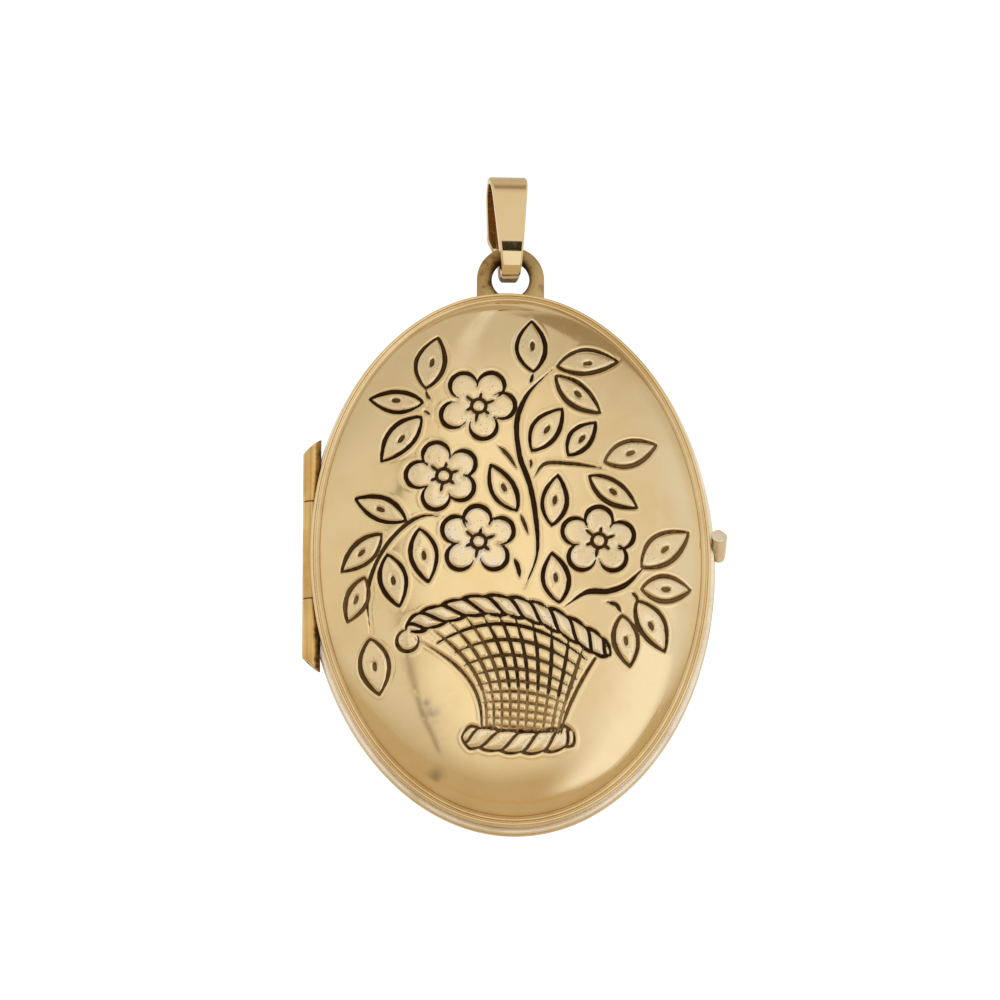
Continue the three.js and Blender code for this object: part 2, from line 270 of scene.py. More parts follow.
def gold_surface(
    name, roughness, corner_shade_reach=0.25, corner_shade=0.6, wave=0.06, tone=(PALE_GOLD, DEEP_GOLD)
):
    """Worn gold. Returns the material, its tree, its shader and the sockets to build on."""
    material, tree, surface = new_material(name)
    place = add_node(tree, "ShaderNodeTexCoord").outputs["Object"]
    clouds = add_node(
        tree, "ShaderNodeTexNoise", {"Vector": place, "Scale": 260, "Detail": 4, "Roughness": 0.6}
    ).outputs[0]
    colour = mix_colours(tree, remap(tree, clouds, 0.38, 0.72), *tone)
    # Painted shade: ambient occlusion darkens the colour towards a near black brown in corners and
    # gaps.
    corners = add_node(
        tree, "ShaderNodeAmbientOcclusion", {"Distance": corner_shade_reach * MM}, samples=8
    ).outputs["AO"]
    colour = mix_colours(tree, remap(tree, corners, 0.2, 0.8, corner_shade, 0.0), colour, SHADE_AND_DIRT_BROWN)
    brown = add_node(tree, "ShaderNodeAttribute", attribute_name="tarnish").outputs["Fac"]
    brown = maths(tree, "MULTIPLY", brown, remap(tree, clouds, 0.3, 0.65, 0.55, 1.0))
    colour = mix_colours(tree, brown, colour, TARNISH)
    # Painted shade and dirt from the shade_and_dirt attribute: darker and duller, broken up by
    # fine specks.
    shade_and_dirt = add_node(tree, "ShaderNodeAttribute", attribute_name="shade_and_dirt").outputs["Fac"]
    crumbs = add_node(
        tree, "ShaderNodeTexNoise", {"Vector": place, "Scale": 1500, "Detail": 4}
    ).outputs[0]
    shade_and_dirt = maths(tree, "ADD", shade_and_dirt, remap(tree, crumbs, 0.35, 0.7, -0.35, 0.2))
    colour = mix_colours(tree, remap(tree, shade_and_dirt, 0.25, 0.9, 0.0, 0.95), colour, SHADE_AND_DIRT_BROWN)

    # Hairlines run both ways, so two noises are stretched along different directions.
    hairs = []
    for turn, scale in ((0.5, 900), (-0.9, 1300)):
        line = add_node(
            tree,
            "ShaderNodeMapping",
            {"Vector": place, "Rotation": (0.0, turn, 0.0), "Scale": (1.0, 0.3, 0.035)},
        ).outputs[0]
        hair = add_node(
            tree, "ShaderNodeTexNoise", {"Vector": line, "Scale": scale, "Detail": 3}
        ).outputs[0]
        hairs.append(hair)
    scratches = maths(tree, "MAXIMUM", *(remap(tree, hair, 0.66, 0.74) for hair in hairs))
    fine = add_node(
        tree, "ShaderNodeTexNoise", {"Vector": place, "Scale": 2600, "Detail": 2}
    ).outputs[0]
    rough = remap(tree, clouds, 0.3, 0.75, roughness, roughness * 1.7)
    rough = maths(tree, "ADD", rough, maths(tree, "MULTIPLY", scratches, 0.12))
    rough = maths(tree, "ADD", rough, remap(tree, shade_and_dirt, 0.0, 0.6, 0.0, 0.25))
    polish = add_node(
        tree, "ShaderNodeTexNoise", {"Vector": place, "Scale": 150, "Detail": 1}
    ).outputs[0]
    bump = add_node(
        tree, "ShaderNodeBump", {"Height": polish, "Strength": 1.0, "Distance": wave * MM}
    ).outputs[0]
    bump = add_node(
        tree,
        "ShaderNodeBump",
        {"Height": fine, "Strength": 0.1, "Distance": 0.002 * MM, "Normal": bump},
    ).outputs[0]
    bump = add_node(
        tree,
        "ShaderNodeBump",
        {"Height": scratches, "Strength": 0.7, "Distance": -0.003 * MM, "Normal": bump},
    ).outputs[0]
    surface.inputs["Metallic"].default_value = 1.0
    tree.links.new(colour, surface.inputs["Base Color"])
    tree.links.new(rough, surface.inputs["Roughness"])
    tree.links.new(bump, surface.inputs["Normal"])
    return material, tree, surface, place, colour, rough, bump


print("gold, pale and deep:", PALE_GOLD[:3], DEEP_GOLD[:3])

# %% [markdown]
# ### Seven finishes
# The locket's pieces were finished in different ways. The covers are buffed, the rims and
# the hinge pin are satin, the peg is dull from thumbs, and the loop is brown from solder
# and from the bail rubbing it. Each could have its own tree, but one function with a few
# numbers keeps them one family.

# %% Finishes
SATIN_TONE = ((0.88, 0.78, 0.62, 1), (0.82, 0.69, 0.49, 1))
PEG_TONE = ((0.95, 0.85, 0.7, 1), (0.9, 0.76, 0.56, 1))
SOLDER_TONE = ((0.52, 0.36, 0.15, 1), (0.38, 0.23, 0.08, 1))

polished_gold = gold_surface("polished_gold", 0.1, corner_shade=0.3)[0]
worn_gold = gold_surface("worn_gold", 0.24, corner_shade=0.2, wave=0.03, tone=SATIN_TONE)[0]
edge_gold = gold_surface("edge_gold", 0.16, corner_shade=0.3, wave=0.03)[0]
bail_gold = gold_surface("bail_gold", 0.1, corner_shade=0.25, wave=0.05)[0]
peg_gold = gold_surface("peg_gold", 0.4, corner_shade=0.3, tone=PEG_TONE)[0]
cover_gold = gold_surface("cover_gold", 0.09, corner_shade=0.12)[0]
soldered_gold = gold_surface(
    "soldered_gold", 0.36, corner_shade_reach=0.7, corner_shade=0.85, wave=0.05, tone=SOLDER_TONE
)[0]
finishes = (
    polished_gold, worn_gold, edge_gold, bail_gold, peg_gold, cover_gold, soldered_gold
)
print("gold finishes:", [material.name for material in finishes])

# %% [markdown]
# ## The engraving
# An engraver pushes a V-shaped graver along each line, so a cut is widest and deepest in
# its middle and runs out to a point at both ends, and the metal beside it rises a little.
# The lines could be curves cut out with booleans, but hundreds of thin V-shaped cuts would
# leave a torn mesh. So every line here is a path with a half width at each point. A field
# then says, for any point on the cover, how far inside or outside the nearest cut it is.
# The same field sinks the mesh, colours the cuts and raises their shoulders, so all three
# always agree.

# %% Paths
def smooth_path(points, steps=10):
    """A Catmull-Rom curve through the points."""
    points = np.array(points, float)
    padded = np.vstack([2 * points[0] - points[1], points, 2 * points[-1] - points[-2]])
    curve = []
    for i in range(1, len(padded) - 2):
        p0, p1, p2, p3 = padded[i - 1 : i + 3]
        for t in np.arange(steps) / steps:
            curve.append(
                0.5
                * (
                    2 * p1
                    + (p2 - p0) * t
                    + (2 * p0 - 5 * p1 + 4 * p2 - p3) * t**2
                    + (3 * p1 - p0 - 3 * p2 + p3) * t**3
                )
            )
    return np.array(curve + [points[-1]])


def tapered(path, half_width, start=0.25, end=0.25):
    """Half widths along a path that swell to half_width and thin towards both ends."""
    t = np.linspace(0, 1, len(path))
    swell = np.minimum(start + (1 - start) * t / 0.3, end + (1 - end) * (1 - t) / 0.3)
    return half_width * np.clip(swell, 0, 1)


class Engraving:
    """The cuts, and the areas the engraver textured or raised."""

    def __init__(self):
        """Starts with a plain face."""
        self.cuts = []  # path, half widths, how dark the cut is
        self.areas = []  # polygon, frosting, paleness, raising

    def cut(self, path, half_width, ink=1.0, start=0.25, end=0.25):
        """One line that thins to the shares start and end of its half width."""
        path = np.array(path, float)
        self.cuts.append((path, tapered(path, half_width, start, end), ink))

    def area(self, outline, frost=0.0, pale=0.0, raised=0.0):
        """A closed outline whose inside is frosted, paler or puffed up."""
        self.areas.append((np.array(outline, float), frost, pale, raised))


engraving = Engraving()
print("a short path has", len(smooth_path([(0, 0), (1, 1), (2, 0)])), "points")

# %% [markdown]
# ### Leaves
# Each leaf is two cuts that meet at its base and tip, with a seed mark in the middle. The
# inside is stippled, so it looks paler and softer than the polish around it. The leaves
# differ only in place, size and bend, so one function draws them all.

# %% Leaves
def leaf(base, tip, half_width, ink=1.0, bend=0.0):
    """A pointed leaf. bend bows its middle sideways, in millimetres."""
    base, tip = np.array(base, float), np.array(tip, float)
    along = tip - base
    length = np.hypot(*along)
    side = np.array([-along[1], along[0]]) / length
    t = np.linspace(0, 1, 22)
    middle = base + np.outer(t, along) + np.outer(bend * np.sin(math.pi * t), side)
    swell = half_width * np.sin(math.pi * t**0.92) ** 0.85
    left = middle + np.outer(swell, side)
    right = middle - np.outer(swell, side)
    engraving.cut(left, 0.15, ink, 0.65, 0.65)
    engraving.cut(right, 0.175, ink, 0.65, 0.65)
    engraving.area(np.vstack([left, right[::-1]]), frost=0.6, pale=0.15, raised=1.0)
    heart = base + along / 2
    mark = along / length * 0.36
    engraving.cut(np.linspace(heart - mark, heart + mark, 9), 0.17, 0.85 * ink, 0.0, 0.0)


LEAVES = [
    # base, tip, half width, darkness, bend
    ((-5.6, 11.2), (-4.8, 14.8), 0.95, 0.95, 0.1),
    ((-5.8, 10.2), (-9.3, 10.6), 0.72, 1.0, 0.1),
    ((-5.9, 9.2), (-8.5, 6.2), 0.85, 1.0, -0.1),
    ((1.5, 12.3), (1.4, 15.9), 0.95, 1.0, 0.1),
    ((3.1, 12.7), (7.1, 13.2), 0.85, 0.9, 0.15),
    ((3.0, 12.0), (5.9, 9.5), 0.75, 0.9, -0.1),
    ((1.4, 6.8), (3.4, 9.7), 0.85, 1.0, 0.1),
    ((3.8, 6.5), (5.6, 8.8), 0.7, 1.0, 0.1),
    ((6.2, 6.1), (9.6, 7.4), 0.85, 0.75, 0.0),
    ((5.2, 5.1), (8.3, 3.0), 0.75, 0.95, -0.05),
    ((2.7, 1.7), (3.1, 5.1), 0.8, 1.0, 0.0),
    ((0.4, 2.7), (-1.3, 5.8), 0.75, 1.0, 0.1),
    ((-6.9, 2.1), (-10.2, 3.7), 0.75, 1.0, -0.05),
    ((-8.5, 1.2), (-11.1, -1.2), 0.75, 0.9, 0.05),
    ((-9.6, -1.7), (-10.7, -4.6), 0.7, 0.8, 0.05),
    ((-9.2, -5.8), (-8.6, -9.5), 0.95, 0.85, 0.0),
    ((-8.1, -0.2), (-7.3, -3.7), 0.85, 1.0, 0.0),
    ((-6.0, 1.5), (-5.4, -2.1), 0.85, 1.0, 0.0),
    ((3.2, -3.5), (2.7, -0.2), 0.85, 1.0, 0.0),
    ((8.6, -1.0), (11.7, 1.5), 0.95, 0.75, 0.1),
    ((8.6, -2.5), (11.8, -2.4), 0.85, 0.75, 0.05),
    ((8.3, -3.3), (10.1, -6.6), 0.85, 0.9, 0.1),
    ((7.3, -4.3), (7.8, -7.7), 0.8, 0.85, 0.0),
]
for base, tip, half_width, ink, bend in LEAVES:
    leaf(base, tip, half_width, ink, bend)
print("leaves:", len(LEAVES))

# %% [markdown]
# ### Flowers
# Five round petals overlap a centre, and only the outer part of each circle is cut. The
# flower's eye is a small ring with short rays. An engraver places each petal by eye, so the
# petals are placed one by one here too, and an array of equal petals would look printed.

# %% Flowers
PETAL = 0.9
PETAL_OPEN = 124  # degrees the cut runs round each side of a petal


def flower(eye, petals, pale):
    """Petals and an eye at (across, up) points. pale says how silvery the frosting is."""
    eye = np.array(eye, float)
    turn = np.linspace(0, 2 * math.pi, 73)
    circle = np.column_stack([np.cos(turn), np.sin(turn)])
    for petal in np.array(petals, float):
        outward = math.atan2(*(petal - eye)[::-1])
        sweep = outward + np.radians(np.linspace(-PETAL_OPEN, PETAL_OPEN, 50))
        edge = petal + PETAL * np.column_stack([np.cos(sweep), np.sin(sweep)])
        engraving.cut(edge, 0.165, 1.0, 0.3, 0.3)
        engraving.area(petal + PETAL * circle[:-1], frost=0.7, pale=pale, raised=1.0)
    engraving.area(eye + 1.5 * circle[:-1], frost=0.7, pale=pale, raised=0.6)
    engraving.cut(eye + 0.47 * circle, 0.13, 0.95, 1, 1)
    for k in range(6):
        ray = circle[(k * 12 + 4) % 72]
        reach = 0.95 if k % 2 else 1.2
        engraving.cut(np.linspace(eye + 0.5 * ray, eye + reach * ray, 6), 0.12, 0.95, 1, 0.0)


FLOWERS = [
    ((-2.1, 9.9), [(-3.1, 11.3), (-1.3, 11.3), (-0.6, 9.9), (-1.8, 8.5), (-3.7, 9.3)], 0.2),
    ((-4.4, 5.1), [(-4.9, 6.5), (-3.2, 5.9), (-3.3, 4.3), (-4.9, 3.7), (-6.0, 5.2)], 0.45),
    ((-2.1, 0.6), [(-2.2, 2.1), (-0.7, 1.3), (-1.1, -0.4), (-3.3, -0.4), (-3.6, 1.4)], 0.8),
    ((5.8, 0.7), [(5.8, 2.1), (7.2, 1.1), (6.7, -0.4), (4.7, -0.4), (4.3, 1.3)], 0.4),
]
for eye, petals, pale in FLOWERS:
    flower(eye, petals, pale)
print("flowers:", len(FLOWERS))

# %% [markdown]
# ### Stems
# A stem is one long push of the graver. It starts thin, swells and runs out. A smooth
# curve through a few points gives the same easy line as a bezier drawn by hand.

# %% Stems
STEMS = [
    # points, half width, darkness
    ([(2.8, 12.5), (1.6, 11.3), (0.9, 10.3), (0.4, 8.7), (0.6, 6.4), (1.3, 4.3), (1.7, 1.7),
      (1.7, -0.4), (0.9, -2.6)], 0.19, 1.0),
    ([(1.5, 4.9), (2.3, 5.9), (4.2, 5.9), (6.4, 5.6)], 0.13, 0.9),
    ([(-0.9, 7.2), (-0.2, 6.5), (0.45, 5.5)], 0.14, 0.9),
    ([(0.6, 2.5), (0.9, 1.8), (1.2, 1.0)], 0.13, 0.9),
    ([(0.2, -0.5), (0.5, -1.2), (0.6, -1.9)], 0.16, 1.0),
    ([(-4.3, 2.2), (-5.6, 2.4), (-6.9, 1.8), (-8.2, 0.4), (-9.1, -1.4), (-9.4, -3.2),
      (-9.2, -5.5)], 0.15, 0.95),
    ([(3.5, -3.8), (5.0, -2.8), (6.4, -2.7), (7.6, -2.2), (8.8, -1.0)], 0.2, 1.0),
    ([(-5.6, 11.1), (-5.5, 10.7), (-5.2, 10.3)], 0.12, 0.9),
    ([(-5.8, 9.6), (-5.5, 9.5), (-5.3, 9.3)], 0.11, 0.9),
    ([(1.5, 12.2), (1.4, 11.8), (1.3, 11.5)], 0.12, 1.0),
    ([(7.9, -2.7), (8.2, -3.0), (8.4, -3.4)], 0.13, 0.9),
    ([(6.2, -3.4), (6.9, -3.6), (7.3, -4.2)], 0.14, 0.95),
    ([(1.2, 6.2), (1.35, 6.0), (1.3, 5.6)], 0.11, 0.9),
]
for points, half_width, ink in STEMS:
    engraving.cut(smooth_path(points), half_width, ink, 0.15, 0.15)
print("stems:", len(STEMS))

# %% [markdown]
# ### Basket
# The basket is wickerwork: staves run down it and weavers run across them. A flat net of
# lines would ignore its flare, so it is laid out on a grid that follows the basket's own
# sides: s runs across it and t runs down it.

# %% Wickerwork
def basket_point(s, t):
    """The (across, up) point at share s across the basket and share t down it."""
    left = np.array([-1.9 - 4.4 * (1 - t) ** 2.6, -5.9 - 5.9 * t])
    right = np.array([3.3 + 2.3 * (1 - t) ** 1.4, -7.1 - 5.1 * t])
    arch = 2.4 * (1 - t) ** 1.5 * 4 * s * (1 - s)
    return left * (1 - s) + right * s + np.array([0, arch])


STAVES_TOP = [0.09, 0.18, 0.27, 0.36, 0.45, 0.54, 0.64, 0.75, 0.85, 0.93]
STAVES_FOOT = [0.06, 0.15, 0.25, 0.35, 0.45, 0.55, 0.66, 0.77, 0.88, 0.96]
WEAVERS = [0.1, 0.22, 0.34, 0.45, 0.55, 0.64, 0.73, 0.81, 0.89, 0.97]

down = np.linspace(0.02, 1.0, 30)
for k, (top, foot) in enumerate(zip(STAVES_TOP, STAVES_FOOT)):
    upper = [basket_point(top + (foot - top) * t, t) for t in down[:18]]
    lower = [basket_point(top + (foot - top) * t, t) for t in down[17:]]
    engraving.cut(upper, 0.135, 0.95 if 2 < k < 9 else 0.7, 0.4, 0.9)
    engraving.cut(lower, 0.105, 0.45, 0.9, 0.7)
for k, t in enumerate(WEAVERS):
    across = np.linspace(0.04 + 0.02 * (k % 2), 0.97, 40)
    dark = 1.0 - 0.07 * k
    engraving.cut([basket_point(s, t) for s in across], 0.14 - 0.005 * k, dark, 0.5, 0.5)
left_side = [basket_point(0.0, t) for t in np.linspace(0, 1, 30)]
right_side = [basket_point(1.0, t) for t in np.linspace(0.02, 1, 30)]
engraving.cut(left_side, 0.12, 0.75, 0.3, 0.6)
engraving.cut(right_side, 0.13, 0.75, 0.8, 0.5)
engraving.cut([(-1.3, -11.95), (0.9, -12.1), (3.3, -12.1)], 0.12, 1.0, 0.5, 0.5)
body = left_side + right_side[::-1] + [basket_point(s, 0.0) for s in np.linspace(1, 0, 12)]
engraving.area(body, frost=0.25, pale=0.1, raised=0.2)
print("staves:", len(STAVES_TOP), "weavers:", len(WEAVERS))

# %% [markdown]
# ### Rope edges
# The basket's rim and foot are bound with twisted rope, and its handle ends in a scroll.
# A rope is drawn on one spine: each strand is an S-shaped cut that crosses it at a lean,
# and small scallops along both sides round the strands off. Two edge lines with cuts
# between them would also work, but the strands then lean unevenly where the lines differ.

# %% Rope edges
def rope(spine, half_height, strands, lean, half_width, ink, pale):
    """Strands along a spine. Each runs on by lean strands as it crosses the rope."""
    spine = smooth_path(spine, 16)
    share = np.linspace(0, 1, len(spine))

    def on(t, height):
        """The point at share t along the spine, height half heights above it."""
        t = float(np.clip(t, 0, 1))
        middle, ahead = (
            np.array([np.interp(at, share, spine[:, k]) for k in (0, 1)]) for at in (t, t + 0.01)
        )
        before = np.array([np.interp(t - 0.01, share, spine[:, k]) for k in (0, 1)])
        along = (ahead - before) / np.hypot(*(ahead - before))
        reach = half_height * min(1.0, math.sqrt(12 * min(t, 1 - t)))
        return middle + np.array([-along[1], along[0]]) * reach * height

    for k in range(-2, strands + 2):
        divide = []
        for e in np.linspace(0, 1, 20):
            at = (k + lean * e) / strands
            if 0 <= at <= 1:
                divide.append(on(at, math.cos(math.pi * e)))
        if len(divide) > 5:
            engraving.cut(divide, half_width, ink, 0.6, 0.6)
    for side, offset in ((1, 0.0), (-1, lean % 1)):
        for k in range(-1, strands):
            scallop = []
            for e in np.linspace(0, 1, 12):
                at = (k + e + offset) / strands
                if 0 <= at <= 1:
                    scallop.append(on(at, side * (1 + 0.2 * math.sin(math.pi * e))))
            if len(scallop) > 5:
                engraving.cut(scallop, half_width, ink, 0.7, 0.7)
    ends = np.linspace(0, 1, 60)
    outline = [on(t, 1) for t in ends] + [on(t, -1) for t in ends[::-1]]
    engraving.area(outline, frost=0.7, pale=pale, raised=1.6)


rope(
    [(-6.85, -5.25), (-5.7, -4.7), (-4.25, -4.2), (-2.8, -3.8), (-1.2, -3.7), (0.3, -3.85),
     (1.65, -4.2), (3.0, -4.75), (4.35, -5.5), (5.5, -6.2), (6.5, -7.0)],
    0.56, 11, 1.2, 0.13, 1.0, 0.5,
)
rope(
    [(-3.2, -12.45), (-2.05, -12.5), (-0.7, -12.7), (0.65, -12.8), (2.0, -12.75), (3.3, -12.5),
     (4.1, -12.1)],
    0.62, 6, -1.0, 0.11, 0.85, 0.5,
)
turn = np.linspace(0.6 * math.pi, 2.15 * math.pi, 26)
scroll = np.column_stack([-6.75 + 0.72 * np.cos(turn), -6.0 + 0.72 * np.sin(turn)])
engraving.cut(scroll, 0.14, 0.9, 0.6, 0.3)
engraving.area(scroll, frost=0.5, pale=0.8, raised=1.0)
print("cuts in all:", len(engraving.cuts))

# %% [markdown]
# ### From cuts to a field
# A painted image would need a very fine map to stay sharp. A field needs none: for every
# point of the cover it keeps the largest value of (half width minus distance), over all
# cuts. It is positive inside a cut and falls off evenly outside, so the edge stays sharp
# even where the mesh is coarser than the line. A few brown stains are added by place.

# %% Field
STAINS = [(-5.2, -10.9, 0.55), (-5.5, -10.2, 0.3), (-4.9, -14.9, 0.5)]  # across, up, size
FIELD_REACH = 0.8


def inside_polygon(points, outline):
    """Which points lie inside the outline, by counting the sides to the right of each."""
    x, y = points.T
    result = np.zeros(len(points), bool)
    for (x0, y0), (x1, y1) in zip(outline, np.roll(outline, -1, axis=0)):
        if y0 != y1:
            crosses = (y0 > y) != (y1 > y)
            result ^= crosses & (x < (x1 - x0) * (y - y0) / (y1 - y0) + x0)
    return result


def near(points, path, reach):
    """The numbers of the points in the path's box, widened by reach."""
    low, high = path.min(axis=0) - reach, path.max(axis=0) + reach
    return np.flatnonzero(((points >= low) & (points <= high)).all(axis=1))


def engraved_field(points):
    """Field, darkness, frosting, paleness, raising and stain at each (across, up) point."""
    field = np.full(len(points), -FIELD_REACH)
    ink = np.zeros(len(points))
    for path, widths, dark in engraving.cuts:
        chosen = near(points, path, FIELD_REACH)
        spots = points[chosen]
        best = np.full(len(spots), -FIELD_REACH)
        for i in range(len(path) - 1):
            step = path[i + 1] - path[i]
            t = np.clip(((spots - path[i]) @ step) / max(step @ step, 1e-12), 0, 1)
            away = np.linalg.norm(spots - path[i] - t[:, None] * step, axis=1)
            best = np.maximum(best, widths[i] + (widths[i + 1] - widths[i]) * t - away)
        stronger = best > field[chosen]
        field[chosen[stronger]] = best[stronger]
        ink[chosen[stronger]] = dark
    textures = np.zeros((3, len(points)))
    for outline, *amounts in engraving.areas:
        chosen = near(points, outline, 0.0)
        held = chosen[inside_polygon(points[chosen], outline)]
        for row, amount in zip(textures, amounts):
            row[held] = np.maximum(row[held], amount)
    stain = np.zeros(len(points))
    for across, up, size in STAINS:
        away = np.hypot(points[:, 0] - across, points[:, 1] - up)
        stain = np.maximum(stain, np.exp(-((away / size) ** 2)))
    return field, ink, *textures, stain


print("engraved areas:", len(engraving.areas), "stains:", len(STAINS))

# %% [markdown]
# ## The domed covers
# Both covers are stamped from sheet: a flange, a quick shoulder, then a gentle crown. The
# dome could be a scaled sphere, but its faces would bunch up at the pole in the middle.
# A grid of squares bent to fill the oval keeps its cells even in size everywhere, so the
# engraving gets the same detail all over. Rings carry on from the grid's edge over the
# shoulder and round to the inside. The flange is a ring of its own, made further down.

# %% Dome shape
CROWN_LEVEL = 0.2245  # share of the way out where the crown starts to level off
SHOULDER_RISE = 0.75
CROWN_RISE = 1.25


def dome_rise(share, sunk=0.0):
    """How far the dome stands above its foot, at each share of the way out."""
    share = np.asarray(share, float)
    level = 0.5 * CROWN_LEVEL**2 + 0.5 / CROWN_LEVEL**2 * share**4
    squared = np.where(share < CROWN_LEVEL, level, share**2)
    shoulder = SHOULDER_RISE * np.sqrt(np.clip(1 - share**8, 0, None))
    return (shoulder + CROWN_RISE * (1 - squared)) - sunk * (1 - share**2)


def filled_oval(cells):
    """Unit directions, shares and faces of a square grid bent to fill an oval, and its rim."""
    line = np.linspace(-1, 1, cells)
    a, b = (grid.ravel() for grid in np.meshgrid(line, line))
    wide = np.abs(a) > np.abs(b)
    share = np.where(wide, a, b)
    angle = np.where(wide, math.pi / 4 * b / np.where(wide, a, 1),
                     math.pi / 2 - math.pi / 4 * a / np.where(wide, 1, b))
    direction = np.column_stack([np.cos(angle), np.sin(angle)]) * np.sign(share)[:, None]
    index = np.arange(cells * cells).reshape(cells, cells)
    faces = np.stack(
        [index[:-1, :-1], index[:-1, 1:], index[1:, 1:], index[1:, :-1]], axis=-1
    ).reshape(-1, 4).tolist()
    rim = np.concatenate([index[0, :-1], index[:-1, -1], index[-1, :0:-1], index[:0:-1, 0]])
    return direction, np.abs(share), faces, rim


def cover_points(direction, half_width, height, side):
    """Case points on ovals of these half widths, at this height on one side of the case."""
    across = direction[:, 0] * half_width
    up = direction[:, 1] * oval_half_height(half_width)
    return np.column_stack([across, side * height + 0 * across, up])


def build_dome(cells, grid_share, side, sunk, decorate=None):
    """A closed dome of sheet, its foot below the flange. Also how many points its grid has."""
    direction, share, faces, rim = filled_oval(cells)
    share = share * grid_share
    points = cover_points(direction, share * DOME_FOOT, FLANGE_HIGH + dome_rise(share, sunk), side)
    if decorate is not None:
        points[:, 1] -= side * decorate(upright(points))
    shoulder = 1 - (1 - grid_share) * (1 - np.linspace(0, 1, 9)[1:]) ** 2
    profile = [(DOME_FOOT * s, FLANGE_HIGH + float(dome_rise(s, sunk))) for s in shoulder]
    profile += [(DOME_FOOT, FLANGE_HIGH - 0.09), (INNER_FOOT + 0.1, FLANGE_LOW + 0.01)]
    profile += [(INNER_FOOT, FLANGE_LOW + 0.01)]
    profile += [
        (INNER_FOOT * s, FLANGE_LOW + float(dome_rise(s))) for s in (0.99, 0.95, 0.85, 0.5, 0.2)
    ]
    around = direction[rim]
    rings = [cover_points(around, width, height, side) for width, height in profile]
    first, count = len(points), len(rim)
    middle = np.array([[0.0, side * (FLANGE_LOW + float(dome_rise(0.0))), 0.0]])
    everything = np.vstack([points, *rings, middle])
    step = np.arange(count)
    after = (step + 1) % count
    faces += np.column_stack([rim[step], rim[after], first + after, first + step]).tolist()
    faces += wrap_rings(first, len(profile), count, closed=False)
    last = first + (len(profile) - 1) * count
    hub = np.full(count, len(everything) - 1)
    faces += np.column_stack([last + step, last + after, hub]).tolist()
    return everything, faces, first


print("dome above its foot, mm:", np.round(dome_rise(np.linspace(0, 1, 6)), 2))

# %% [markdown]
# ### Front cover
# The mesh is sunk by the field: a V for each cut, a low burr beside it, and a soft pillow
# inside each petal, leaf and strand. A bump map alone would light the cuts the same way
# but leave their outline flat at a grazing angle, so the cuts are real. The grid has just
# enough cells for the finest line.

# %% Front cover mesh
CUT_DEPTH = 0.13
BURR = 0.014
PILLOW = 0.028
DOME_SUNK = 0.05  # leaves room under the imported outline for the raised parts


def carve(spots):
    """How far the surface goes down at each point."""
    field, _, _, _, raised, _ = engraved_field(spots)
    slope = np.clip((field + 0.05) / 0.2, 0, 1)
    groove = CUT_DEPTH * slope * slope * (3 - 2 * slope)
    burr = BURR * np.exp(-(((field + 0.12) / 0.07) ** 2))
    pillow = PILLOW * raised * np.clip((-field - 0.05) / 0.3, 0, 1) ** 0.7
    return groove - burr - pillow


FACE_CELLS = 280
cover_shape, cover_faces, face_count = build_dome(FACE_CELLS, 0.95, -1, DOME_SUNK, carve)
print("front dome faces:", len(cover_faces))

# %% [markdown]
# ### Engraved gold
# Old cuts hold dark wax and dirt, more in some lines than in others. Frosted areas are a
# paler, rougher gold, and the whitest ones look almost like silver. The field goes on to
# the mesh as attributes, and the material builds on the worn gold: it colours the cuts by
# the field and frosts the stippled areas, so colour and shape can't drift apart.

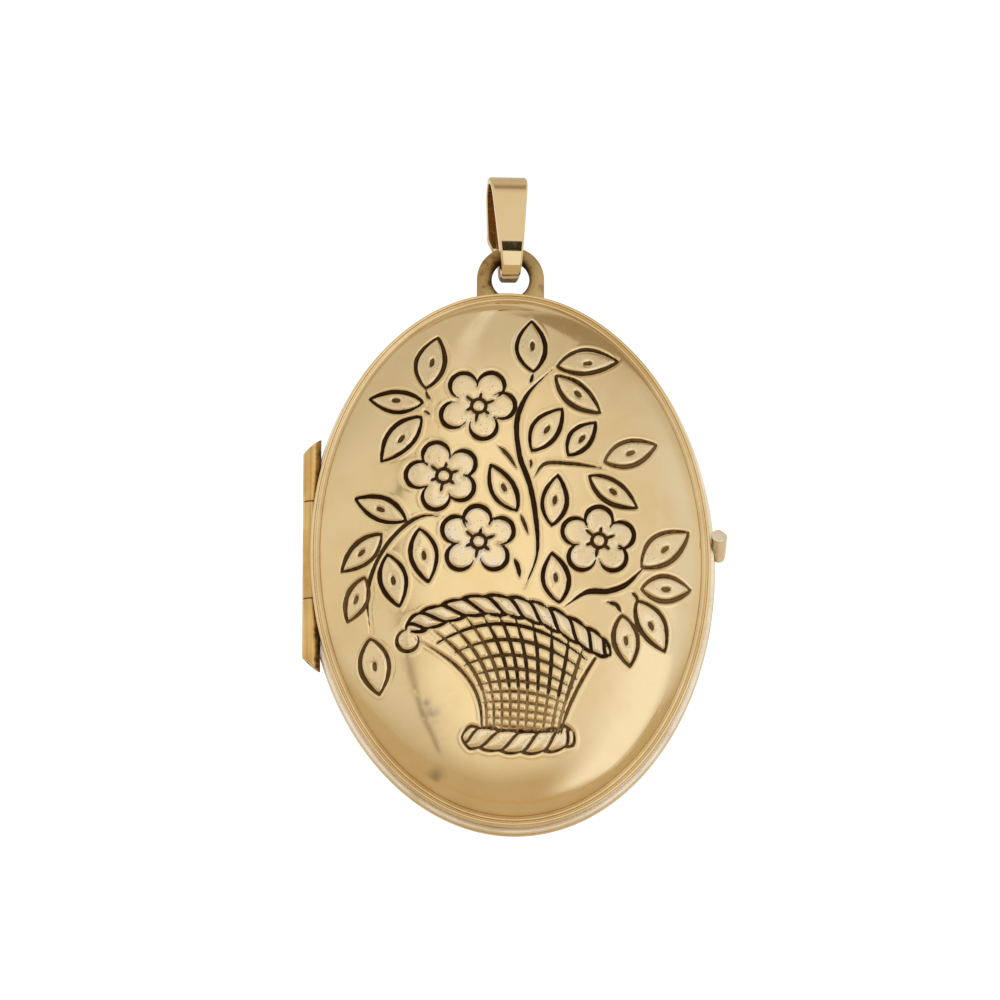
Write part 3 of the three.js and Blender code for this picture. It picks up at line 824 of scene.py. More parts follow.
# %% Engraved gold
def engraved_gold():
    """Polished gold that reads the engraving's attributes from the mesh."""
    material, tree, surface, place, colour, rough, bump = gold_surface(
        "engraved_gold", 0.07, corner_shade=0.2, wave=0.09
    )

    def attribute(name):
        """What the mesh stores under this name."""
        return add_node(tree, "ShaderNodeAttribute", attribute_name=name).outputs["Fac"]

    field, ink, frost, pale, stain = map(attribute, ("cut", "ink", "frost", "pale", "stain"))
    specks = add_node(
        tree, "ShaderNodeTexVoronoi", {"Vector": place, "Scale": 5200}, feature="F1"
    ).outputs["Distance"]
    blots = add_node(
        tree, "ShaderNodeTexNoise", {"Vector": place, "Scale": 1900, "Detail": 5}
    ).outputs[0]
    stipple = maths(
        tree, "MULTIPLY", remap(tree, specks, 0.32, 0.18), remap(tree, blots, 0.5, 0.6)
    )
    patches = add_node(
        tree, "ShaderNodeTexNoise", {"Vector": place, "Scale": 620, "Detail": 3}
    ).outputs[0]
    patched = maths(tree, "MULTIPLY", pale, remap(tree, patches, 0.38, 0.6, 0.25, 1.0))
    frosted = mix_colours(tree, patched, (0.78, 0.61, 0.35, 1), (0.74, 0.69, 0.64, 1))
    soft = maths(tree, "MULTIPLY", frost, remap(tree, blots, 0.35, 0.62, 0.35, 1.0))
    colour = mix_colours(tree, soft, colour, frosted)
    colour = mix_colours(
        tree, maths(tree, "MULTIPLY", stipple, frost), colour, (0.3, 0.2, 0.09, 1)
    )
    tarnish = maths(tree, "MULTIPLY", stain, remap(tree, patches, 0.42, 0.6, 0.0, 0.65))
    colour = mix_colours(tree, tarnish, colour, (0.25, 0.2, 0.15, 1))
    # The cut's edge is broken a little, and its darkness follows how much it was inked.
    ragged = maths(tree, "ADD", field, remap(tree, blots, 0.2, 0.8, -0.02, 0.02))
    inside = remap(tree, ragged, -0.012, 0.03)
    filled = maths(tree, "MULTIPLY", inside, remap(tree, ink, 0.0, 0.6, 0.6, 1.0))
    dark = mix_colours(tree, ink, (0.52, 0.31, 0.11, 1), (0.035, 0.016, 0.006, 1))
    colour = mix_colours(tree, filled, colour, dark)
    tree.links.new(colour, surface.inputs["Base Color"])
    rough = maths(tree, "ADD", rough, maths(tree, "MULTIPLY", soft, 0.16))
    rough = maths(tree, "ADD", rough, maths(tree, "MULTIPLY", filled, 0.3))
    tree.links.new(rough, surface.inputs["Roughness"])
    grain = add_node(
        tree, "ShaderNodeBump",
        {"Height": maths(tree, "MULTIPLY", blots, frost), "Strength": 0.7,
         "Distance": 0.02 * MM, "Normal": bump},
    ).outputs[0]
    tree.links.new(grain, surface.inputs["Normal"])
    return material


engraved_finish = engraved_gold()
front_cover = make_piece(
    "front_dome_engraved", to_row(cover_shape), cover_faces, engraved_finish,
    "front_half", ["front_cover"], sharp=50,
)
field, ink, frost, pale, _, stain = engraved_field(upright(cover_shape))
on_face = np.arange(len(cover_shape)) < face_count
for attribute_name, values, elsewhere in (
    ("cut", field, -FIELD_REACH), ("ink", ink, 0), ("frost", frost, 0), ("pale", pale, 0),
    ("stain", stain, 0),
):
    put_on(front_cover, attribute_name, np.where(on_face, values, elsewhere))
put_on(front_cover, "tarnish", old_polish(cover_shape))
print("share of the face inside a cut:", round(float((field[on_face] > 0).mean()), 3))

# %% [markdown]
# ### Back cover
# The back is plain and buffed, with the same dome. With nothing cut into it, a much
# coarser grid is smooth enough.

# %% Back dome
back_shape, back_faces, _ = build_dome(120, 0.93, 1, 0.0)
make_piece(
    "back_dome_plain", to_row(back_shape), back_faces, cover_gold,
    "back_half", ["back_cover"],
)

# %% [markdown]
# ## Rims, collar and picture frames
# All of these are one section swept round the oval. A lathe can't turn an oval, and a
# bevelled curve would need one curve each, but Geometry Nodes' Curve to Mesh does just
# this. The tree takes the section as a curve and the oval's two sizes as inputs, so the
# same tree makes the two rims, the collar, both flanges and both picture frames.

# %% Sweep tree
def oval_sweep_tree():
    """The tree, and the identifier of each input that a modifier sets."""
    tree = bpy.data.node_groups.new("oval_sweep", "GeometryNodeTree")
    face = tree.interface
    face.new_socket("Section", in_out="INPUT", socket_type="NodeSocketGeometry")
    sockets = {
        "width": face.new_socket("Half width", in_out="INPUT", socket_type="NodeSocketFloat"),
        "height": face.new_socket("Half height", in_out="INPUT", socket_type="NodeSocketFloat"),
        "steps": face.new_socket("Steps", in_out="INPUT", socket_type="NodeSocketInt"),
        "metal": face.new_socket("Metal", in_out="INPUT", socket_type="NodeSocketMaterial"),
    }
    face.new_socket("Band", in_out="OUTPUT", socket_type="NodeSocketGeometry")
    given = tree.nodes.new("NodeGroupInput")
    result = tree.nodes.new("NodeGroupOutput")
    circle = tree.nodes.new("GeometryNodeCurvePrimitiveCircle")
    circle.inputs["Radius"].default_value = 1.0
    stretch = tree.nodes.new("ShaderNodeCombineXYZ")
    stretch.inputs["Z"].default_value = 1.0
    oval = tree.nodes.new("GeometryNodeTransform")
    sweep = tree.nodes.new("GeometryNodeCurveToMesh")
    realize = tree.nodes.new("GeometryNodeRealizeInstances")
    metal = tree.nodes.new("GeometryNodeSetMaterial")
    for source, target in (
        (given.outputs["Steps"], circle.inputs["Resolution"]),
        (given.outputs["Half width"], stretch.inputs["X"]),
        (given.outputs["Half height"], stretch.inputs["Y"]),
        (circle.outputs["Curve"], oval.inputs["Geometry"]),
        (stretch.outputs["Vector"], oval.inputs["Scale"]),
        (oval.outputs["Geometry"], sweep.inputs["Curve"]),
        (given.outputs["Section"], sweep.inputs["Profile Curve"]),
        (sweep.outputs["Mesh"], realize.inputs["Geometry"]),
        (realize.outputs["Geometry"], metal.inputs["Geometry"]),
        (given.outputs["Metal"], metal.inputs["Material"]),
        (metal.outputs["Geometry"], result.inputs["Band"]),
    ):
        tree.links.new(source, target)
    return tree, {key: socket.identifier for key, socket in sockets.items()}


sweep_tree, sweep_inputs = oval_sweep_tree()
print("sweep inputs:", sorted(sweep_inputs))

# %% [markdown]
# ### Sections
# A filed edge is never quite sharp, and it catches a thin line of light. A Bevel modifier
# could round it, but rounding the section before the sweep is exact and costs few faces.
# The swept curve is then turned into a plain mesh, because points are easier to lean, push
# and colour than a live modifier.

# %% Sections
def rounded_section(corners, radius, steps=4):
    """A closed outline with each corner replaced by a short curve."""
    corners = np.array(corners, float)
    outline = []
    for before, corner, after in zip(np.roll(corners, 1, 0), corners, np.roll(corners, -1, 0)):
        start, end = before - corner, after - corner
        reach = min(radius, 0.45 * np.hypot(*start), 0.45 * np.hypot(*end))
        start = corner + start / np.hypot(*start) * reach
        end = corner + end / np.hypot(*end) * reach
        for t in np.linspace(0, 1, steps + 1):
            outline.append((1 - t) ** 2 * start + 2 * t * (1 - t) * corner + t**2 * end)
    return np.array(outline)


def section_curve(name, outline):
    """A closed poly curve on an object of its own."""
    curve = bpy.data.curves.new(name, "CURVE")
    curve.dimensions = "3D"
    spline = curve.splines.new("POLY")
    spline.points.add(len(outline) - 1)
    for point, (x, y) in zip(spline.points, outline):
        point.co = (x, y, 0.0, 1.0)
    spline.use_cyclic_u = True
    holder = bpy.data.objects.new(name, curve)
    bpy.context.scene.collection.objects.link(holder)
    return holder


def plain_mesh(holder):
    """The evaluated shape as points and faces. The holder and its modifier are removed."""
    evaluated = holder.evaluated_get(bpy.context.evaluated_depsgraph_get())
    mesh = bpy.data.meshes.new_from_object(evaluated)
    points = np.array([v.co for v in mesh.vertices])
    faces = [tuple(p.vertices) for p in mesh.polygons]
    curve = holder.data
    bpy.data.objects.remove(holder)
    bpy.data.curves.remove(curve)
    bpy.data.meshes.remove(mesh)
    return points, faces


def sweep_oval(name, corners, metal, radius, steps=256):
    """A section of (half width, depth) corners swept round the oval, as case points."""
    outline = rounded_section(corners, radius)
    middle = outline[:, 0].mean()
    holder = section_curve(name, outline - [middle, 0])
    modifier = holder.modifiers.new("sweep", "NODES")
    modifier.node_group = sweep_tree
    modifier[sweep_inputs["width"]] = float(middle)
    modifier[sweep_inputs["height"]] = float(oval_half_height(middle))
    modifier[sweep_inputs["steps"]] = steps
    modifier[sweep_inputs["metal"]] = metal
    points, faces = plain_mesh(holder)
    return np.column_stack([points[:, 0], -points[:, 2], points[:, 1]]), faces


def clear_of_barrel(points):
    """Pushes row points on the left in, so that the hinge barrel has room."""
    reach = BARREL_RADIUS + HINGE_GAP
    depth = points[:, 1] / MM - CASE_Y
    wall = HINGE_X + np.sqrt(np.clip(reach**2 - depth**2, 0, None))
    beside = np.abs(depth) < reach
    points[:, 0] = np.where(beside, np.maximum(points[:, 0], wall * MM), points[:, 0])
    return points


def rectangle(inner, outer, near, far):
    """The corners of a section between two half widths and two depths."""
    return [(inner, near), (outer, near), (outer, far), (inner, far)]


print("a rounded square section has", len(rounded_section(rectangle(0, 1, 0, 1), 0.1)), "points")

# %% [markdown]
# ### Rims and collar
# Each half has a flat rim that meets the other one, and a thin collar inside the back half
# holds the locket shut. On the left the rims give way to the hinge. A boolean could cut
# that notch, but pushing the points in keeps the mesh clean.

# %% Rims and collar
def band(name, corners, metal, body_name, node, radius=0.05, beside_hinge=False):
    """A section swept round the case, made into a piece with tarnish at the dome's foot."""
    shape, faces = sweep_oval(name, corners, metal, radius)
    points = to_row(shape)
    if beside_hinge:
        points = clear_of_barrel(points)
    piece = make_piece(name, points, faces, metal, body_name, [node])
    put_on(piece, "tarnish", old_polish(shape))


RIM_SIDES = ((1, CASE_HALF_WIDTH, "back"), (-1, FRONT_HALF_WIDTH, "front"))
for side, edge, half in RIM_SIDES:
    near_face, far_face = sorted((side * PARTING_GAP, side * RIM_HIGH))
    band(
        f"{half}_rim_ring", rectangle(INNER_FOOT, edge - RIM_INSET, near_face, far_face),
        worn_gold, f"{half}_half", f"{half}_rim", beside_hinge=True,
    )
band(
    "snap_collar_ring", rectangle(COLLAR_INNER, COLLAR_OUTER, -COLLAR_REACH, RIM_HIGH),
    polished_gold, "back_half", "back_snap_collar",
)

# %% [markdown]
# ### Flanges
# The sheet runs on past the dome as a flange. The back one ends in a plain round edge. The
# front one has a small bead and a hollow that runs up to the dome, which shows as a bright
# line and a dark line all the way round. Only the section differs, so both are swept.

# %% Flanges
def plain_edge(edge):
    """A quarter round at the outside, from the side of the flange to its top."""
    high = FLANGE_HIGH
    bend = np.linspace(0, math.pi / 2, 6)
    return [(edge - 0.15 + 0.15 * math.cos(t), high - 0.15 + 0.15 * math.sin(t)) for t in bend]


def beaded_edge(edge):
    """A small bead at the edge, then a hollow that runs up to the dome's foot."""
    high = FLANGE_HIGH
    bend = np.linspace(0, math.pi, 11)
    bead = [(edge - 0.11 + 0.11 * math.cos(t), high - 0.05 + 0.10 * math.sin(t)) for t in bend]
    across = np.linspace(edge - 0.24, DOME_FOOT, 12)
    hollow = [
        (x, high - 0.04 - 0.07 * math.sin(math.pi * k / 11) ** 1.5) for k, x in enumerate(across)
    ]
    return bead + hollow


for side, edge, half, outline in (
    (1, CASE_HALF_WIDTH, "back", plain_edge(CASE_HALF_WIDTH)),
    (-1, FRONT_HALF_WIDTH, "front", beaded_edge(FRONT_HALF_WIDTH)),
):
    corners = [(INNER_FOOT + 0.1, FLANGE_LOW), (edge, FLANGE_LOW), *outline]
    corners += [(INNER_FOOT + 0.1, FLANGE_HIGH - 0.1)]
    band(
        f"{half}_flange_ring", [(width, side * depth) for width, depth in corners],
        edge_gold, f"{half}_half", f"{half}_cover", radius=0.02,
    )

# %% [markdown]
# ### Picture frames
# Inside each half a thin oval frame holds the picture in. It is a flat ring with a short
# upstand round the window's edge. The front half has no collar, so its frame reaches
# further out. It is one section again, so the sweep makes it too.

# %% Picture frames
SIGHT = CASE_HALF_WIDTH - 3.3
FRAME_NEAR = FLANGE_LOW - 0.02
FRAME_FAR = FRAME_NEAR + 0.16
SKIRT_OUTER = COLLAR_INNER - 0.06
SKIRT_INNER = SKIRT_OUTER - 0.16
SKIRT_FAR = FRAME_FAR + 0.17


def frame_corners(edge, side):
    """The section of a frame that reaches out to edge, on one side of the case."""
    corners = [
        (SIGHT, FRAME_NEAR), (edge, FRAME_NEAR), (edge, FRAME_FAR), (SKIRT_OUTER, FRAME_FAR),
        (SKIRT_OUTER, SKIRT_FAR), (SKIRT_INNER, SKIRT_FAR), (SKIRT_INNER, FRAME_FAR),
        (SIGHT, FRAME_FAR),
    ]
    if edge <= SKIRT_OUTER:
        corners = corners[:2] + corners[4:]
    return [(width, side * depth) for width, depth in corners]


for side, edge, half in ((1, SKIRT_OUTER, "back"), (-1, INNER_FOOT - 0.12, "front")):
    band(
        f"{half}_picture_frame", frame_corners(edge, side), polished_gold,
        f"{half}_half", f"{half}_photo_frame", radius=0.04,
    )

# %% [markdown]
# ## Windows, prints and backing cards
# Behind each picture frame lie a thin clear window, a blank print and a grey card. Paper
# is rough and never one even colour: fibres and faint stains do it, and no image file is
# needed. The window is clear, a little yellow and a little hazy, as old acetate is. Glass
# would be thicker and quite clean.

# %% Plate materials
def paper_material(name, light, dark, scale):
    """Rough paper or card, with fibres of this scale and a few faint stains."""
    material, tree, surface = new_material(name)
    place = add_node(tree, "ShaderNodeTexCoord").outputs["Object"]
    fibres = add_node(
        tree, "ShaderNodeTexNoise", {"Vector": place, "Scale": scale, "Detail": 8}
    ).outputs[0]
    stains = add_node(
        tree, "ShaderNodeTexNoise", {"Vector": place, "Scale": 190, "Detail": 3}
    ).outputs[0]
    colour = mix_colours(tree, remap(tree, fibres, 0.3, 0.7), light, dark)
    colour = mix_colours(tree, remap(tree, stains, 0.5, 0.8, 0.0, 0.5), colour, dark)
    tree.links.new(colour, surface.inputs["Base Color"])
    tree.links.new(remap(tree, stains, 0.3, 0.7, 0.55, 0.85), surface.inputs["Roughness"])
    bump = add_node(
        tree, "ShaderNodeBump", {"Height": fibres, "Strength": 0.4, "Distance": 0.01 * MM}
    ).outputs[0]
    tree.links.new(bump, surface.inputs["Normal"])
    return material


def acetate_material():
    """Clear plastic sheet with a faint haze."""
    material, tree, surface = new_material("acetate")
    place = add_node(tree, "ShaderNodeTexCoord").outputs["Object"]
    haze = add_node(
        tree, "ShaderNodeTexNoise", {"Vector": place, "Scale": 330, "Detail": 4}
    ).outputs[0]
    surface.inputs["Transmission Weight"].default_value = 1.0
    surface.inputs["IOR"].default_value = 1.49
    colour = mix_colours(tree, haze, (0.97, 0.97, 0.94, 1), (0.93, 0.92, 0.86, 1))
    tree.links.new(colour, surface.inputs["Base Color"])
    tree.links.new(remap(tree, haze, 0.3, 0.75, 0.02, 0.12), surface.inputs["Roughness"])
    bump = add_node(
        tree, "ShaderNodeBump", {"Height": haze, "Strength": 0.4, "Distance": 0.03 * MM}
    ).outputs[0]
    tree.links.new(bump, surface.inputs["Normal"])
    return material


print_paper = paper_material("print_paper", (0.80, 0.76, 0.66, 1), (0.70, 0.64, 0.51, 1), 2200)
grey_card = paper_material("card", (0.34, 0.33, 0.31, 1), (0.24, 0.23, 0.21, 1), 1700)
acetate = acetate_material()
print("sheet materials:", [sheet.name for sheet in (print_paper, grey_card, acetate)])

# %% [markdown]
# ### Plates
# All three are flat oval plates with a softened edge. A scaled cylinder would do, but its
# edge would be sharp, so rings of points run from the middle of one face over the edge to
# the middle of the other. One function cuts all six.

# %% Plates
def plate(name, edge, near_face, far_face, material, body_name, node, steps=128):
    """An oval plate between two depths, made into a piece."""
    soft = 0.3 * (far_face - near_face)
    section = [
        (0.35 * edge, near_face), (0.8 * edge, near_face), (edge - abs(soft), near_face),
        (edge, near_face + soft), (edge, far_face - soft), (edge - abs(soft), far_face),
        (0.8 * edge, far_face), (0.35 * edge, far_face),
    ]
    angle = np.arange(steps) / steps * 2 * math.pi
    direction = np.column_stack([np.cos(angle), np.sin(angle)])
    rings = [cover_points(direction, width, depth, 1) for width, depth in section]
    points = np.vstack(rings + [[[0, near_face, 0]], [[0, far_face, 0]]])
    faces = wrap_rings(0, len(section), steps, closed=False)
    step = np.arange(steps)
    after = (step + 1) % steps
    last = (len(section) - 1) * steps
    middle = len(section) * steps
    faces += np.column_stack([step, np.full(steps, middle), after]).tolist()
    faces += np.column_stack([last + step, last + after, np.full(steps, middle + 1)]).tolist()
    make_piece(name, to_row(points), faces, material, body_name, [node])


PLATES = [
    # kind, packed name, edge, near face, far face, material, slot
    ("window", "photo_window", 11.56, 0.86, 1.01, acetate, "acetate"),
    ("print", "photo_print", 11.46, 1.05, 1.13, print_paper, "print_paper"),
    ("card", "backing_card", 11.16, 1.17, 1.27, grey_card, "card"),
]
for half, side in (("back", 1), ("front", -1)):
    for kind, node, edge, near_face, far_face, material, slot in PLATES:
        plate(
            f"{half}_{kind}_plate", edge, side * near_face, side * far_face,
            material, f"{half}_half", f"{half}_{node}",
        )

# %% [markdown]
# ## Hinge
# Three lengths of drawn tube share one pin, and the peg, the ridge, the loop and the bail
# are turned, filed or bent from wire and strap. Each is a row of rings, so it could be a
# curve with a bevel. A loft through rings that are worked out one by one also allows
# slanted ends, facets and a width that changes, so one loft serves them all.

# %% Loft
def loft(rings, capped=True):
    """Points and faces of a tube through rings of the same size, with its ends closed."""
    around = len(rings[0])
    points = np.vstack(rings)
    faces = wrap_rings(0, len(rings), around, closed=not capped)
    if capped:
        points = np.vstack([points, [np.mean(rings[0], axis=0)], [np.mean(rings[-1], axis=0)]])
        step = np.arange(around)
        after = (step + 1) % around
        first, last = len(points) - 2, (len(rings) - 1) * around
        faces += np.column_stack([after, step, np.full(around, first)]).tolist()
        faces += np.column_stack([last + step, last + after, np.full(around, first + 1)]).tolist()
    return points, faces


print("loft ready, open or capped")

# %% [markdown]
# ### Brushed gold
# A draw plate and emery leave fine lines along a tube. Stretching a noise along the pin's
# direction gives them. A painted map would need the tube unwrapped first. The tone is
# redder than the covers, because the tube is never buffed.

# %% Brushed gold
TUBE_TONE = ((0.78, 0.52, 0.20, 1), (0.58, 0.34, 0.10, 1))
TUBE_LINE = (0.45, 0.24, 0.06, 1)


def brushed_gold():
    """Gold with fine lines that run up and down."""
    material, tree, surface, place, colour, _, bump = gold_surface(
        "brushed_gold", 0.22, corner_shade_reach=0.4, wave=0.01, tone=TUBE_TONE
    )
    drawn = add_node(
        tree, "ShaderNodeMapping", {"Vector": place, "Scale": (1, 1, 0.02)}
    ).outputs[0]
    lines = add_node(
        tree, "ShaderNodeTexNoise", {"Vector": drawn, "Scale": 5500, "Detail": 3}
    ).outputs[0]
    colour = mix_colours(tree, remap(tree, lines, 0.45, 0.7, 0.0, 0.5), colour, TUBE_LINE)
    tree.links.new(colour, surface.inputs["Base Color"])
    bump = add_node(
        tree, "ShaderNodeBump",
        {"Height": lines, "Strength": 0.8, "Distance": 0.012 * MM, "Normal": bump},
    ).outputs[0]
    tree.links.new(bump, surface.inputs["Normal"])
    return material


tube_gold = brushed_gold()
print("tube finish:", tube_gold.name)

# %% [markdown]
# ### Knuckles and pin
# The lower and upper knuckles belong to the back half and the middle one to the front
# half. The two outer ends are filed at a slant, to follow the oval, and each end has a
# small worn edge. A cylinder with a bevel would give the edge but not the slant, so the
# rings are placed one by one. Shade is painted on the side towards the case.

# %% Knuckles and pin
KNUCKLE_LENGTHS = {"lower": 4.4, "middle": 6.6, "upper": 3.8}
KNUCKLE_GAP = 0.05
HINGE_MIDDLE = 0.35
PIN_RADIUS = 0.25
PIN_PLAY = 0.03
WORN_EDGE = 0.05
END_SLANT = math.tan(math.radians(40))
HINGE_FOOT = HINGE_MIDDLE - sum(KNUCKLE_LENGTHS.values()) / 2


def hinge_ring(radius, height, slant, inward, steps=48):
    """A ring round the pin. inward moves it along the tube, away from a slanted end."""
    angle = np.arange(steps) / steps * 2 * math.pi
    across = radius * np.cos(angle)
    up = height + slant * END_SLANT * across + inward
    return np.column_stack([HINGE_X + across, radius * np.sin(angle), up])


def knuckle(low, high, slants):
    """A bored tube between two heights, with a worn edge at each end."""
    worn = WORN_EDGE
    bore = PIN_RADIUS + PIN_PLAY
    ends = ((low, slants[0], 1), (high, slants[1], -1))
    foot, head = [
        [
            hinge_ring(bore, z, slant, inward * 0.3),
            hinge_ring(bore, z, slant, 0),
            hinge_ring(BARREL_RADIUS - worn, z, slant, 0),
            hinge_ring(BARREL_RADIUS - 0.3 * worn, z, slant, inward * 0.3 * worn),
            hinge_ring(BARREL_RADIUS, z, slant, inward * worn),
        ]
        for z, slant, inward in ends
    ]
    return loft(foot + head[::-1], capped=False)


z = HINGE_FOOT
for name, length in KNUCKLE_LENGTHS.items():
    low = z if name == "lower" else z + KNUCKLE_GAP / 2
    z += length
    high = z if name == "upper" else z - KNUCKLE_GAP / 2
    slants = (-1 if name == "lower" else 0, 1 if name == "upper" else 0)
    shape, faces = knuckle(low, high, slants)
    half = "front" if name == "middle" else "back"
    tube = make_piece(
        f"knuckle_{name}_tube", to_row(shape, lean=False), faces, tube_gold,
        f"{half}_half", [f"hinge_knuckle_{name}"], sharp=30,
    )
    # Painted shade on the side of each tube that faces the case.
    towards_case = (shape[:, 0] - HINGE_X) / BARREL_RADIUS
    put_on(tube, "shade_and_dirt", 0.8 * np.clip((towards_case - 0.1) / 0.5, 0, 1))
pin_rings = [
    hinge_ring(PIN_RADIUS * 0.8, HINGE_FOOT, -1, 0.03),
    hinge_ring(PIN_RADIUS, HINGE_FOOT, -1, 0.08),
    hinge_ring(PIN_RADIUS, z, 1, -0.08),
    hinge_ring(PIN_RADIUS * 0.8, z, 1, -0.03),
]
shape, faces = loft(pin_rings)
make_piece(
    "hinge_pin_rod", to_row(shape, lean=False), faces, worn_gold,
    "back_half", ["hinge_pin"],
)

# %% [markdown]
# ## Thumb peg
# A thumbnail opens the locket at this peg. It stands forward from the back rim with a
# round root and a flat end, and the end has been filed once more on one side, which leaves
# a facet. A cylinder cut with a boolean plane would show the same facet, but here the end
# rings are simply pushed back where the file went, and the mesh stays closed.

# %% Thumb peg
PEG_RADIUS = 0.53
PEG_LENGTH = 2.5
PEG_LEAN = math.radians(28)
PEG_ROOT = np.array([CASE_HALF_WIDTH + 0.26, 1.1, 0.3])


def thumb_peg(steps=48):
    """The peg as a loft from its round root to its filed end."""
    angle = np.arange(steps) / steps * 2 * math.pi
    across, over = np.cos(angle), np.sin(angle)
    root = PEG_RADIUS * 0.8
    profile = [
        (root * math.sin(t), root * (1 - math.cos(t))) for t in np.linspace(0.15, math.pi / 2, 8)
    ]
    profile += [(PEG_RADIUS * 0.9, 1.2), (PEG_RADIUS, PEG_LENGTH - 0.2)]
    profile += [
        (PEG_RADIUS - 0.05 * (1 - math.cos(t)), PEG_LENGTH - 0.05 + 0.05 * math.sin(t))
        for t in np.linspace(0, math.pi / 2, 5)
    ]
    profile += [(PEG_RADIUS * k, PEG_LENGTH) for k in (0.75, 0.5, 0.25, 0.05)]
    forward = np.array([0, -math.cos(PEG_LEAN), math.sin(PEG_LEAN)])
    upward = np.array([0, math.sin(PEG_LEAN), math.cos(PEG_LEAN)])
    rings = []
    for radius, reach in profile:
        facet = 0.55 * np.clip(radius * (0.92 * across + 0.4 * over) - 0.14, 0, None)
        along = np.minimum(reach, PEG_LENGTH - facet)
        ring = PEG_ROOT + np.outer(radius * across, (1, 0, 0)) + np.outer(radius * over, upward)
        rings.append(ring + np.outer(along, forward))
    return loft(rings)


shape, faces = thumb_peg()
make_piece(
    "thumb_peg_turned", to_row(shape, lean=False), faces, peg_gold,
    "back_half", ["thumb_peg"], sharp=25,
)

# %% [markdown]
# ## Snap ridge
# A small spindle of solder on the collar makes the locket click shut. A stretched sphere
# would be straight, and this one follows the collar's curve, so it is a row of rings that
# swell towards the middle, set along the wall.

# %% Snap ridge
ridge_low, ridge_high = (np.array(corner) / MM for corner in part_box("snap_ridge"))
ridge_low, ridge_high = (corner - [0, CASE_Y, CASE_Z] for corner in (ridge_low, ridge_high))
ridge_length = ridge_high[2] - ridge_low[2]
ridge_middle = (ridge_low + ridge_high) / 2
rings = []
for t in np.linspace(-0.98, 0.98, 15):
    swell = math.sqrt(1 - t * t)
    up = ridge_middle[2] + t * (ridge_length / 2 - 0.02)
    wall = COLLAR_OUTER * math.sqrt(1 - (up / oval_half_height(COLLAR_OUTER)) ** 2)
    angle = np.arange(16) / 16 * 2 * math.pi
    rings.append(
        np.column_stack([
            wall + 0.085 * swell * np.cos(angle),
            ridge_middle[1] + 0.09 * swell * np.sin(angle),
            np.full(16, up),
        ])
    )
shape, faces = loft(rings)
make_piece(
    "snap_ridge_bead", to_row(shape), faces, worn_gold,
    "back_half", ["snap_ridge"],
)
print("snap ridge box, mm:", np.round(ridge_low, 2), np.round(ridge_high, 2))

# %% [markdown]
# ## Suspension loop
# The loop is a flat ring with softened edges. Below its middle the outside runs straight
# down into the case, where solder has filled it out. A torus would be round in section and
# have no legs, so a soft flat section is carried round the hole and stretched to the
# outside. The metal is matt and brown, and darkest round the hole, where the bail sits.

# %% Loop
LOOP_BORE = 1.25
LOOP_OUTER = 2.25
LOOP_HALF_DEPTH = 0.475
LOOP_DEPTH = 0.53
LOOP_UP = CASE_HALF_HEIGHT + 1.05


def loop_shape():
    """Points, faces and how much each point is darkened."""
    section = rounded_section(
        [(0, -LOOP_HALF_DEPTH), (1, -LOOP_HALF_DEPTH), (1, LOOP_HALF_DEPTH), (0, LOOP_HALF_DEPTH)],
        0.42, steps=7,
    )
    rings, shade_and_dirt = [], []
    for turn in np.linspace(-68, 248, 120):
        a = math.radians(turn)
        inner = LOOP_BORE * np.array([math.cos(a), math.sin(a)])
        outer = LOOP_OUTER * np.array([math.cos(a), math.sin(a)])
        if math.sin(a) < 0:
            outer = np.array([math.copysign(LOOP_OUTER, math.cos(a)), 1.35 * inner[1]])
        span = inner + np.outer(section[:, 0], outer - inner)
        rings.append(
            np.column_stack([span[:, 0], LOOP_DEPTH + section[:, 1], LOOP_UP + span[:, 1]])
        )
        # Darker towards the hole and at the top, where the bail lies over the loop.
        high = max(0.0, math.sin(a)) ** 2
        near_hole = (1 - section[:, 0]) ** 1.5
        shade_and_dirt.append(0.2 + near_hole * (0.7 + 0.35 * high) + 0.25 * high**6)
    points, faces = loft(rings)
    return points, faces, np.concatenate(shade_and_dirt + [[0.5, 0.5]])


shape, faces, shade_and_dirt = loop_shape()
loop = make_piece(
    "suspension_loop_ring", to_row(shape, lean=False), faces, soldered_gold,
    "back_half", ["suspension_loop"],
)
put_on(loop, "shade_and_dirt", shade_and_dirt)

# %% [markdown]
# ## Bail
# The bail is one strap folded through the loop. It is widest under the chain and narrows
# downwards, and its two ends lap at the foot, where the front one is bent under in two
# flat facets. A flat strip with Solidify would have the same thickness all over, and the
# foot is thicker. So the strap is drawn in side view first, as an inner and an outer line.

# %% Side view of the bail
BAIL_TOP = 1.05
STRAP = 0.45
BAIL_FOOT_UP = -4.925
BAIL_FOOT_INNER = 0.935
BAIL_TWIST = math.radians(8.5)
BAIL_TILT = math.radians(1.5)
BAIL_SHIFT = -0.12


def arc(centre_up, radius, start, end, count):
    """Points (depth, up) round a centre, from one angle to another in degrees."""
    angle = np.radians(np.linspace(start, end, count))
    return np.column_stack([radius * np.cos(angle), centre_up + radius * np.sin(angle)])


def resample(outline, count):
    """The same number of evenly spaced points on any closed outline, starting at its first."""
    closed = np.vstack([outline, outline[:1]])
    length = np.concatenate([[0], np.cumsum(np.linalg.norm(np.diff(closed, axis=0), axis=1))])
    wanted = np.arange(count) / count * length[-1]
    return np.column_stack([np.interp(wanted, length, closed[:, k]) for k in (0, 1)])


def bail_half_width(depth, up):
    """The strap's half width. The rear strap is narrow near the foot, to clear the loop."""
    down = np.clip((0.45 - up) / 7.2, 0, 1)
    front = 1.3 - 0.7 * down
    rear = 0.57 + 0.65 * np.clip((up + 4.5) / 0.95, 0, 1) ** 0.5
    behind = np.clip(depth / 0.8, 0, 1)
    return front + (rear - front) * behind


